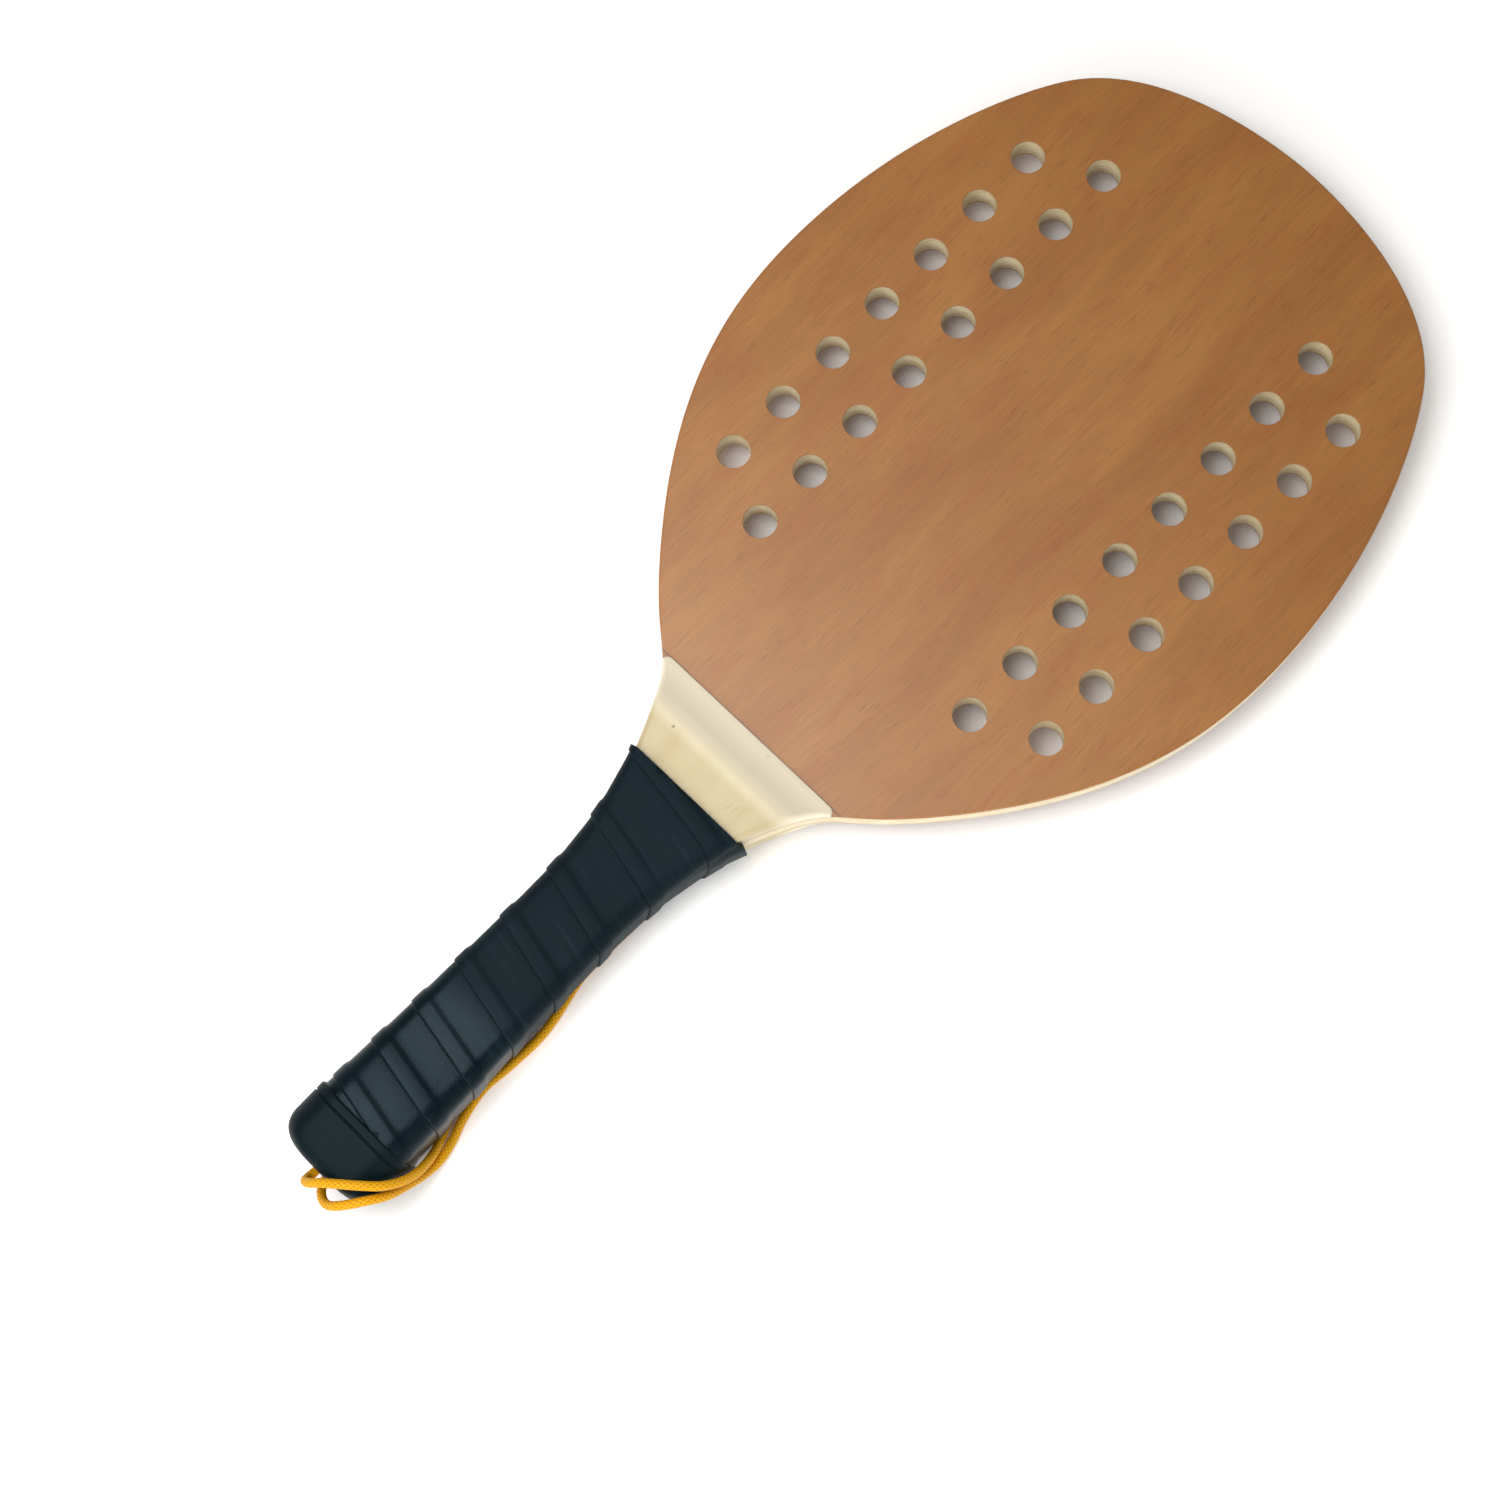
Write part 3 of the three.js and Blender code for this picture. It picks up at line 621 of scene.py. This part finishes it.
plies = {
    "edgeRound": 0.8,  # sanded edge of the blade
    "edgeSteps": 4,
    "fadeFrom": -37,  # the sanding dies out where the handle's scales begin
    "fadeTo": -24,
    "cornerSteps": 10,
    "sharpAngle": 9,
    "holeRadius": 5.6,
    "holeSides": 64,
    "rimRound": 0.1,
    "parkedRim": 40,  # an inner ply's rim cone waits above the blade and cuts nothing
    "drillDepth": 30,
    "pitch": 23,
    "innerColumn": 45.72,
    "outerColumn": 68.12,
    "firstInner": 177.5,
    "firstOuter": 165.4,
    "innerCount": 8,
    "outerCount": 7,
    "pocketRadius": 5.9,
    "pocketDepth": 10.2,
    "pocketSides": 48,
    "pocketOverrun": 1,
    "levels": (
        ("backFaceVeneer", "back_face_veneer", -5, -4.4, "veneer_wood", okoumeVeneer),
        ("backCrossbandPly", "back_crossband_ply", -4.4, -2.2, "crossband_wood", poplarCrossband),
        ("corePly", "core_ply", -2.2, 2.2, "core_wood", poplarCore),
        ("frontCrossbandPly", "front_crossband_ply", 2.2, 4.4, "crossband_wood", poplarCrossband),
        ("frontFaceVeneer", "front_face_veneer", 4.4, 5, "veneer_wood", okoumeVeneer),
    ),
}


def plyOutline():
    right, corner = list(fineEdge[1:]), wood["tangCorner"]
    for out, down in quarterTurn(plies["cornerSteps"])[1:]:
        right.append(Vector((fineEdge[-1].x - corner * out, wood["tangEnd"] + corner * down)))
    return [fineEdge[0]] + right + [Vector((-p.x, p.y)) for p in reversed(right)]


def insetRing(outline, inset, height):
    ring, count = [], len(outline)
    for i, point in enumerate(outline):
        ahead = outline[(i + 1) % count] - outline[i - 1]
        inward = Vector((ahead.y, -ahead.x)).normalized()
        amount = inset * smoothStep(point.y, plies["fadeFrom"], plies["fadeTo"])
        ring.append(lifted(point.x + inward.x * amount, point.y + inward.y * amount, height))
    return ring


def plyRings(outline, low, high):
    # rings from the lower to the upper face, drawn in where the sanded edge takes wood away
    radius, face, levels = plies["edgeRound"], wood["halfBlade"], {low, high}
    for out, down in quarterTurn(plies["edgeSteps"]):
        levels.update(z for z in (radius * down - face, face - radius * down) if low < z < high)
    return [insetRing(outline, cornerShortfall(radius, face - abs(z)), z) for z in sorted(levels)]


def perforationTree(values):
    tree, add, given, result = newTree("perforations", values)
    back = add("Math:MULTIPLY", {1: -1.0}, {0: given["pitch"]})
    step = add("CombineXYZ", links={"Y": back})
    columns = add("JoinGeometry")
    for column, first, number in (("innerColumn", "firstInner", "innerCount"),
                                  ("outerColumn", "firstOuter", "outerCount")):
        for side in (1.0, -1.0):
            across = add("Math:MULTIPLY", {1: side}, {0: given[column]})
            start = add("CombineXYZ", links={"X": across, "Y": given[first], "Z": given["middle"]})
            line = add("MeshLine", links={"Count": given[number], "Start Location": start, "Offset": step})
            tree.links.new(line.outputs[0], columns.inputs[0])

    # a straight drill through every layer, then a cone that breaks the rim, turned by half a side against it
    radius, rim, side = given["holeRadius"], given["rimRound"], given["rimSide"]
    drill = add("MeshCylinder",
                links={"Vertices": given["holeSides"], "Radius": radius, "Depth": given["drillDepth"]})
    widest = add("Math:MULTIPLY_ADD", {1: 2.0}, {0: rim, 2: radius})
    narrow = add("Math:SUBTRACT", links={0: radius, 1: rim})
    deep = add("Math:MULTIPLY", {1: 3.0}, {0: rim})
    cone = add("MeshCone", links={"Vertices": given["holeSides"], "Radius Top": widest,
                                  "Radius Bottom": narrow, "Depth": deep})
    foot = add("Math:MULTIPLY", {1: -2.0}, {0: rim})
    height = add("Math:MULTIPLY_ADD", links={0: foot, 1: side, 2: given["rimHeight"]})
    seat = add("CombineXYZ", links={"Z": height})
    flip = add("Math:MULTIPLY_ADD", {1: -math.pi / 2, 2: math.pi / 2}, {0: side})
    halfSide = add("Math:DIVIDE", {0: math.pi}, {1: given["holeSides"]})
    turn = add("CombineXYZ", links={"X": flip, "Z": halfSide})
    seated = add("Transform",
                 links={"Geometry": cone.outputs["Mesh"], "Translation": seat, "Rotation": turn})
    solid = given["Geometry"]
    for tool in (drill.outputs["Mesh"], seated):
        placed = add("InstanceOnPoints", links={"Points": columns, "Instance": tool})
        real = add("RealizeInstances", links={"Geometry": placed})
        solid = add("MeshBoolean:DIFFERENCE", {"solver": "EXACT"},
                    {"Mesh 1": solid, "Mesh 2": real}).outputs["Mesh"]
    whole = add("RealizeInstances", links={"Geometry": solid})
    dressed = add("SetMaterial", links={"Geometry": whole, "Material": given["material"]})
    tree.links.new(dressed.outputs[0], result[0])
    return tree


def cutPocket(piece):
    # the pocket for the knot in the end of the tang
    radius, mouth = plies["pocketRadius"], wood["tangEnd"] - plies["pocketOverrun"]
    angles = [2 * math.pi * i / plies["pocketSides"] for i in range(plies["pocketSides"])]
    rings = []
    for y in (mouth, wood["tangEnd"] + plies["pocketDepth"]):
        rings.append([lifted(radius * math.cos(a), y, radius * math.sin(a)) for a in angles])
    drill = newPiece("pocketDrill", *loftRings(rings))
    faceOutward(drill)
    modifier = piece.modifiers.new("pocket", "BOOLEAN")
    modifier.operation, modifier.solver, modifier.object = "DIFFERENCE", "EXACT", drill
    freeze(piece)
    bpy.data.objects.remove(drill)


def makePlies():
    lengths = ("holeRadius", "rimRound", "drillDepth", "pitch", "innerColumn", "outerColumn", "firstInner",
               "firstOuter")
    shared = {name: plies[name] * mm for name in lengths}
    shared.update({name: plies[name] for name in ("holeSides", "innerCount", "outerCount")})
    outline, tree = plyOutline(), None
    for name, node, low, high, slotName, material in plies["levels"]:
        piece = newPiece(name, *loftRings(plyRings(outline, low, high)))
        faceOutward(piece)
        cutPocket(piece)
        outer = high if high > 0 else low
        rim = outer if abs(outer) == wood["halfBlade"] else plies["parkedRim"]
        values = {**shared, "middle": wood["middle"] * mm, "rimHeight": rim * mm,
                  "rimSide": math.copysign(1.0, outer), "material": material}
        tree = tree or perforationTree(values)
        runTree(piece, tree, values)
        shadeByAngle(piece, plies["sharpAngle"])
        wear(piece, material, slotName, node)
    print("plies:", len(plies["levels"]))


makePlies()

scales = {
    "frontHalfWidth": 36.8,
    "frontCorner": 2,
    "arcSteps": 8,
    "endSteps": 8,
    "cornerSteps": 6,
    "sharpAngle": 24,
    "plainFrom": 6,  # below the cap's rim, where the tang's round end is over
    "plainStep": 2.5,
    "rampFrom": 16,  # below the blade's start, with a finer step over the ramp
    "rampStep": 0.75,
    "rampCount": 19,
}


def scaleStations():
    start, ramp = wood["bladeStart"], wood["bladeStart"] - scales["rampFrom"]
    stations = [wood["tangEnd"] + wood["tangCorner"] * out for out, down in quarterTurn(scales["endSteps"])]
    y = wood["capTop"] - scales["plainFrom"]
    while y < ramp - 1:
        stations.append(y)
        y += scales["plainStep"]
    stations += [ramp + i * scales["rampStep"] for i in range(scales["rampCount"])]
    stations += [start - scales["frontCorner"] * down for out, down in quarterTurn(scales["cornerSteps"])]
    return sorted(stations)


def makeScale(name, node, upright):
    rings, foot = [], wood["halfBlade"]
    for y in scaleStations():
        drop = cornerShortfall(scales["frontCorner"], max(wood["bladeStart"] - y, 0))
        halfWidth = min(woodHalfWidth(y), scales["frontHalfWidth"] - drop)
        right = quarterArc(halfWidth, woodHalfThickness(y), woodEdgeRadius(y), scales["arcSteps"])
        section = [(halfWidth, foot)] + right + [(-x, z) for x, z in reversed(right)] + [(-halfWidth, foot)]
        rings.append([lifted(x, y, upright * z) for x, z in section])
    piece = newPiece(name, *loftRings(rings))
    faceOutward(piece)
    cutPocket(piece)
    shadeByAngle(piece, scales["sharpAngle"])
    wear(piece, limewoodScale, "scale_wood", node)


makeScale("frontHandleScale", "front_handle_scale", 1)
makeScale("backHandleScale", "back_handle_scale", -1)
print("scales: 2")

tape = {
    "lowEnd": wood["capTop"] + 0.03,
    "highEnd": wood["gripTop"],
    "skinLow": wood["capTop"] - 6,
    "skinHigh": wood["gripTop"] + 6,
    "skinStep": 1.6,
    "arcSteps": 10,
    "sharpAngle": 50,
    "crown": 0.35,  # the soft tape stands a little round on the flats
    "sideCrown": 0.2625,
    "firstSeam": wood["capTop"] + 0.5,
    "firstPitch": 15.5,
    "pitchGain": 1.2,
    "firstTurn": -1.42,  # both ends of the tape lie level with the ends of the grip
    "turns": 8.69,
    "stepsPerTurn": 96,
    "wander": 0.35,  # how far a seam strays from a true helix
    # the tape's tail, doubled up on the right side of the throat, in shares of a turn from the front's middle
    "tailAt": -0.235,
    "tailHalfWidth": 0.03,
    "tailFade": 0.015,
    "tailLift": 1.5,
    "tailRise": 1.4,
    "tailLength": 22,
    # across from the seam, height over the wood, and 1 where the place is counted from the next seam
    "section": (
        (-0.12, 0.95, 0), (-0.02, 1.28, 0), (0.2, 1.47, 0), (0.7, 1.54, 0), (2.4, 1.53, 0), (4.6, 1.5, 0),
        (5.3, 1.4, 0), (6.1, 1.12, 0), (7.0, 1.01, 0), (8.4, 1.0, 0), (-3, 1.0, 1), (-0.6, 0.97, 1),
        (0.3, 0.86, 1), (1.2, 0.55, 1), (4.8, 0.5, 1), (5.2, 0.35, 1), (5.2, 0.03, 1), (0, 0.02, 1),
        (-3, 0.02, 1), (8.0, 0.02, 0), (6.6, 0.03, 0), (5.4, 0.4, 0), (4.6, 0.56, 0), (0.4, 0.56, 0),
        (0.02, 0.65, 0), (-0.12, 0.95, 0),
    ),
}


def crownedSection(y):
    # the handle's section under the tape, with its flats a little round, from the middle of the back
    arc = tape["arcSteps"]
    section = handleSection(y, wood["clearance"], arc)
    points = []
    for i, (x, z) in enumerate(section):
        points.append((x, z))
        nextX, nextZ = section[(i + 1) % len(section)]
        if i in (arc, 3 * arc + 2):  # across the front and the back
            for share in (k / 8 for k in range(1, 8)):
                bulge = tape["crown"] * 4 * share * (1 - share)
                points.append((x + (nextX - x) * share, z + math.copysign(bulge, z)))
        if i in (2 * arc + 1, 4 * arc + 3):  # down the left side and up the right one
            for share in (k / 4 for k in range(1, 4)):
                bulge = tape["sideCrown"] * 4 * share * (1 - share)
                points.append((x + math.copysign(bulge, x), z + (nextZ - z) * share))
    lowest = min(range(len(points)), key=lambda i: points[i][1])
    return points[lowest:] + points[: lowest + 1]


def handleSkin():
    # the surface that the tape is wound on, with a map: shares of a turn from the middle of the front,
    # and shares of its length
    run = [0]
    points = crownedSection(wood["narrowest"])
    for here, following in zip(points, points[1:]):
        run.append(run[-1] + math.dist(here, following))
    around, width = run[-1], len(points)
    low, high = tape["skinLow"], tape["skinHigh"]
    rowCount = round((high - low) / tape["skinStep"])
    verts, faces, chart = [], [], []
    for row in range(rowCount + 1):
        y = low + (high - low) * row / rowCount
        verts += [lifted(x, y, z) for x, z in crownedSection(y)]
        chart += [(length / around - 0.5, row / rowCount) for length in run]
        if row:
            for c in range((row - 1) * width, row * width - 1):
                faces.append((c, c + width, c + width + 1, c + 1))
    skin = newPiece("woundGripTape", verts, faces, smooth=False)
    skin.data.shade_smooth()
    layer = skin.data.uv_layers.new(name="windMap")
    for loop in skin.data.loops:
        layer.data[loop.index].uv = chart[loop.vertex_index]
    return skin, around


def windingTree(values):
    tree, add, given, result = newTree("woundTape", values)

    # a flat grid of one by one: along the tape, and round its cross-section
    grid = add("MeshGrid", {"Size X": 1.0, "Size Y": 1.0},
               {"Vertices X": given["steps"], "Vertices Y": given["sectionPoints"]})
    unit = {"From Min": -0.5, "From Max": 0.5}
    spot = add("SeparateXYZ", links={"Vector": add("InputPosition")}).outputs
    turn = add("MapRange", unit,
               {"Value": spot["X"], "To Min": given["firstTurn"], "To Max": given["lastTurn"]})
    row = add("MapRange", unit, {"Value": spot["Y"], "To Max": given["lastPoint"]})
    whole = add("Math:ROUND", links={0: row})
    section = add("ObjectInfo", links={"Object": given["section"]}).outputs["Geometry"]
    picked = add("SampleIndex", {"data_type": "FLOAT_VECTOR", "domain": "POINT"},
                 {"Geometry": section, "Value": add("InputPosition"), "Index": whole})
    profile = add("SeparateXYZ", links={"Vector": picked}).outputs

    # where a seam lies: each turn of the tape is a little wider than the last, and the seam strays a little
    seams = []
    later = add("Math:ADD", {1: 1.0}, {0: turn})
    for turns in (turn, later):
        before = add("Math:SUBTRACT", {1: 1.0}, {0: turns})
        pairs = add("Math:MULTIPLY", links={0: turns, 1: before})
        even = add("Math:MULTIPLY_ADD", links={0: turns, 1: given["firstPitch"], 2: given["firstSeam"]})
        wider = add("Math:MULTIPLY_ADD", links={0: pairs, 1: given["halfGain"], 2: even})
        stray = add("TexNoise", {"noise_dimensions": "1D", "Scale": 2.1, "Detail": 1.0}, {"W": turns})
        seams.append(add("Math:MULTIPLY_ADD", links={0: stray, 1: given["wander"], 2: wider}))
    base = add("Mix", links={0: profile["Z"], 2: seams[0], 3: seams[1]})
    wanted = add("Math:ADD", links={0: base, 1: profile["X"]})
    share = add("Math:WRAP", {1: 0.5, 2: -0.5}, {0: turn})

    # the doubled tail stands proud and a little past the grip's top
    off = add("Math:SUBTRACT", links={0: share, 1: given["tailAt"]})
    away = add("Math:ABSOLUTE", links={0: off})
    near = add("MapRange", {"interpolation_type": "SMOOTHSTEP", "To Min": 1.0, "To Max": 0.0},
               {"Value": away, "From Min": given["tailInner"], "From Max": given["tailOuter"]})
    top = add("Math:MULTIPLY_ADD", links={0: near, 1: given["tailRise"], 2: given["highEnd"]})
    y = add("Clamp", links={"Value": wanted, "Min": given["lowEnd"], "Max": top})
    upper = add("MapRange", {"interpolation_type": "SMOOTHSTEP"},
                {"Value": y, "From Min": given["tailFoot"], "From Max": given["highEnd"],
                 "To Max": given["tailLift"]})
    raised = add("Math:MULTIPLY", links={0: near, 1: upper})
    outer = add("MapRange", {"From Min": 0.1 * mm, "From Max": 0.6 * mm}, {"Value": profile["Y"]})
    height = add("Math:MULTIPLY_ADD", links={0: raised, 1: outer, 2: profile["Y"]})

    # the place on the handle, found through its map, and the height over it
    v = add("MapRange", links={"Value": y, "From Min": given["skinLow"], "From Max": given["skinHigh"]})
    at = add("CombineXYZ", links={"X": share, "Y": v})
    chart = add("InputNamedAttribute", {"data_type": "FLOAT_VECTOR", "Name": "windMap"})
    onSkin = []
    for field in ("InputPosition", "InputNormal"):
        sources = {"Mesh": given["Geometry"], "Value": add(field), "UV Map": chart, "Sample UV": at}
        onSkin.append(add("SampleUVSurface", {"data_type": "FLOAT_VECTOR"}, sources))
    outward = add("VectorMath:NORMALIZE", links={0: onSkin[1]})
    lift = add("VectorMath:SCALE", links={0: outward, "Scale": height})
    final = add("VectorMath:ADD", links={0: onSkin[0], 1: lift})
    along = add("Math:MULTIPLY", links={0: turn, 1: given["around"]})
    across = add("Math:SUBTRACT", links={0: wanted, 1: seams[0]})
    tapeMap = add("CombineXYZ", links={"X": along, "Y": across})
    kept = add("StoreNamedAttribute",
               {"data_type": "FLOAT2", "domain": "CORNER", "Name": "tapeMap"},
               {"Geometry": grid.outputs["Mesh"], "Value": tapeMap})
    wound = add("SetPosition", links={"Geometry": kept, "Position": final})
    joined = add("MergeByDistance", {"Distance": 0.005 * mm}, {"Geometry": wound})
    flipped = add("FlipFaces", links={"Mesh": joined})
    real = add("RealizeInstances", links={"Geometry": flipped})
    dressed = add("SetMaterial", links={"Geometry": real, "Material": given["material"]})
    tree.links.new(dressed.outputs[0], result[0])
    return tree


def makeTape():
    skin, around = handleSkin()
    corners = [Vector((x * mm, z * mm, flag)) for x, z, flag in tape["section"]]
    section = newPiece("tapeSection", corners, [], smooth=False)
    lengths = ("firstPitch", "wander", "lowEnd", "highEnd", "skinLow", "skinHigh", "tailLift", "tailRise")
    values = {name: tape[name] * mm for name in lengths}
    values.update({
        "firstSeam": (tape["firstSeam"] - tape["wander"] / 2) * mm,
        "halfGain": tape["pitchGain"] * mm / 2,
        "tailFoot": (tape["highEnd"] - tape["tailLength"]) * mm,
        "around": around * mm,
        "firstTurn": tape["firstTurn"],
        "lastTurn": tape["firstTurn"] + tape["turns"],
        "tailAt": tape["tailAt"],
        "tailInner": tape["tailHalfWidth"],
        "tailOuter": tape["tailHalfWidth"] + tape["tailFade"],
        "section": section,
        "sectionPoints": len(corners),
        "lastPoint": len(corners) - 1,
        "steps": round(tape["turns"] * tape["stepsPerTurn"]) + 1,
        "material": polyurethaneTape,
    })
    runTree(skin, windingTree(values), values)
    bpy.data.objects.remove(section)
    shadeByAngle(skin, tape["sharpAngle"])
    wear(skin, polyurethaneTape, "tape_skin", "grip_tape")
    print("tape:", len(skin.data.polygons), "faces")


makeTape()

cap = {
    "halfWidth": 18.7,
    "halfHeight": 15,
    "planCorner": 8.5,
    "rimCorner": 4.2,
    "wall": 2.1,
    "length": 20,
    "lipRound": 0.7,
    "holeRadius": 4,
    "holeRound": 0.8,
    "spokes": (11.7, 11.5, 7.5),  # a smaller section, whose directions the hole's points lie in
    "barrel": (11, 13.5),  # rings on the straight part
    "grooveAt": 16.8,  # moulded groove below the lip
    "grooveDepth": 0.45,
    "grooveWidth": 0.9,
    "grooveSteps": 6,
    "innerDrops": (0, 5, 9),  # rings down the inside, below the lip
    "arcSteps": 12,
    "planSteps": 12,
    "rimSteps": 8,
    "roundSteps": 4,
    "endSteps": 6,
    "sharpAngle": 35,
}


def capOuterRing(distance, draw=0):
    halfWidth = cap["halfWidth"] - cornerShortfall(cap["planCorner"], distance) - draw
    halfHeight = cap["halfHeight"] - cornerShortfall(cap["rimCorner"], distance) - draw
    corner = woodEdgeRadius(wood["tangEnd"] + distance) + wood["clearance"] + cap["wall"] - draw
    section = roundedSection(halfWidth, halfHeight, corner, cap["arcSteps"])
    return [lifted(x, wood["buttEnd"] + distance, z) for x, z in section]


def capHoleRing(radius, distance):
    ring = []
    for x, z in roundedSection(*cap["spokes"], cap["arcSteps"]):
        size = math.hypot(x, z)
        ring.append(lifted(radius * x / size, wood["buttEnd"] + distance, radius * z / size))
    return ring


def makeCap():
    mouth, lip = cap["holeRound"], cap["lipRound"]
    rings = [capHoleRing(cap["holeRadius"] + mouth * out, mouth * down)
             for out, down in quarterTurn(cap["roundSteps"])]
    distances = [cap["planCorner"] * out for out, down in quarterTurn(cap["planSteps"])]
    distances += [cap["rimCorner"] * out for out, down in quarterTurn(cap["rimSteps"])[1:-1]]
    rings += [capOuterRing(distance) for distance in sorted(distances + list(cap["barrel"]))]
    grooveLow = cap["grooveAt"] - cap["grooveWidth"] / 2
    for share in (i / cap["grooveSteps"] for i in range(cap["grooveSteps"] + 1)):
        depth = cap["grooveDepth"] * math.sin(math.pi * share) ** 0.7
        rings.append(capOuterRing(grooveLow + cap["grooveWidth"] * share, depth))
    rings += [capOuterRing(cap["length"] - lip * down, lip * out)
              for out, down in quarterTurn(cap["roundSteps"])]
    inner = [wood["capTop"] - drop for drop in cap["innerDrops"]]
    inner += [wood["tangEnd"] + wood["tangCorner"] * out
              for out, down in reversed(quarterTurn(cap["endSteps"]))]
    for y in inner:
        rings.append([lifted(x, y, z) for x, z in handleSection(y, wood["clearance"], cap["arcSteps"])])
    floorY = wood["tangEnd"] - wood["clearance"]
    rings.append([lifted(x, floorY, z) for x, z in handleSection(wood["tangEnd"], 0, cap["arcSteps"])])
    rings.append(capHoleRing(cap["holeRadius"], floorY - wood["buttEnd"]))
    piece = newPiece("mouldedButtCap", *loftRings(rings, joinEnds=True))
    faceOutward(piece)
    shadeByAngle(piece, cap["sharpAngle"])
    wear(piece, capRubber, "cap_rubber", "butt_cap")
    print("cap: 1")


makeCap()

knot = {
    "turns": 2.6,
    "radius": 3.0,
    "diameter": 2.9,
    "length": 6.2,
    "gap": 0.05,  # off the cap's end wall
    "sides": 20,
    "steps": 150,
}


def makeKnot():
    # a barrel of turns behind the hole
    points = []
    start = wood["tangEnd"] + knot["diameter"] / 2 + knot["gap"]
    for share in (i / knot["steps"] for i in range(knot["steps"] + 1)):
        angle = 2 * math.pi * knot["turns"] * share
        x, z = knot["radius"] * math.cos(angle), knot["radius"] * math.sin(angle)
        points.append(lifted(x, start + knot["length"] * share, z))
    piece = braidedTube("stopperKnot", points, knot["diameter"] * mm, knot["sides"])
    wear(piece, braidedPolyester, "cord_yarn", "cord_knot")
    print("knot: 1")


makeKnot()

studio = {
    "floorSize": 6,
    "floorGap": 0.05,  # keeps the floor clear of the cap's flat underside
    "floorColour": "#f5f4f2",
    "worldColour": "#f8fafc",
    "horizonStrength": 0.8,
    "zenithStrength": 0.1,
    # name, place, aim, side and power: the key hangs over the grip, so the light falls off towards the head
    "lights": (
        ("keyPanel", (-0.14, -0.22, 0.78), (-0.04, -0.12, 0), 0.44, 4.4),
        ("buttPanel", (0.1, -0.95, 0.6), (0, 0, 0), 0.6, 3.4),
        ("sidePanel", (0.7, -0.5, 0.55), (0, -0.03, 0), 0.6, 2.6),
        ("overheadPanel", (-0.15, 0.12, 0.9), (-0.05, 0.08, 0), 0.4, 0.62),
    ),
    # a broad light for the paper alone, so it stays pale out to its far edge
    "washPower": 1.3,
    "washSpread": 100,
}


def makeFloor():
    half, level = studio["floorSize"] / 2, -studio["floorGap"] * mm
    corners = [(-half, -half, level), (half, -half, level), (half, half, level), (-half, half, level)]
    floor = newPiece("floor", corners, [(0, 1, 2, 3)], smooth=False)
    material, add = newMaterial("mattePaperSweep")
    place = add("TexCoord").outputs["Object"]
    fleck = add("TexNoise", {"Scale": 9.0, "Detail": 2.0}, {"Vector": place})
    shade = add("MapRange", {"To Min": 0.985, "To Max": 1.01}, {"Value": fleck})
    colour = add("VectorMath:SCALE", {0: linear(studio["floorColour"])[:3]}, {"Scale": shade})
    shader = add("BsdfPrincipled", {"Roughness": 0.85}, {"Base Color": colour})
    add("OutputMaterial", links={"Surface": shader})
    floor.data.materials.append(material)
    return floor


def makeWorld():
    # bright at the horizon and dim overhead
    world = bpy.data.worlds.new("studioWorld")
    world.use_nodes = True
    world.node_tree.nodes.clear()
    add = partial(addNode, world.node_tree)
    direction = add("TexCoord").outputs["Generated"]
    height = add("SeparateXYZ", links={"Vector": direction}).outputs["Z"]
    fade = {"From Min": 0.1, "From Max": 0.6, "To Min": studio["horizonStrength"],
            "To Max": studio["zenithStrength"]}
    strength = add("MapRange", fade, {"Value": height})
    sky = add("Background", {"Color": linear(studio["worldColour"])}, {"Strength": strength})
    add("OutputWorld", links={"Surface": sky})
    bpy.context.scene.world = world


def hangLight(name, kind):
    lamp = bpy.data.lights.new(name, kind)
    holder = bpy.data.objects.new(name, lamp)
    bpy.context.scene.collection.objects.link(holder)
    return lamp, holder


def makeLights(floor):
    for name, place, target, size, power in studio["lights"]:
        lamp, holder = hangLight(name, "AREA")
        lamp.shape, lamp.size, lamp.energy = "SQUARE", size, power
        holder.location = place
        holder.rotation_euler = (Vector(target) - Vector(place)).to_track_quat("-Z", "Y").to_euler()
    lamp, holder = hangLight("floorWash", "SUN")
    lamp.energy, lamp.angle = studio["washPower"], math.radians(studio["washSpread"])
    holder.light_linking.receiver_collection = bpy.data.collections.new("litFloor")
    holder.light_linking.receiver_collection.objects.link(floor)


makeLights(makeFloor())
makeWorld()
bpy.context.scene.view_settings.view_transform = "Standard"
print("studio:", len(studio["lights"]) + 1, "lights")

print("all pieces in place")
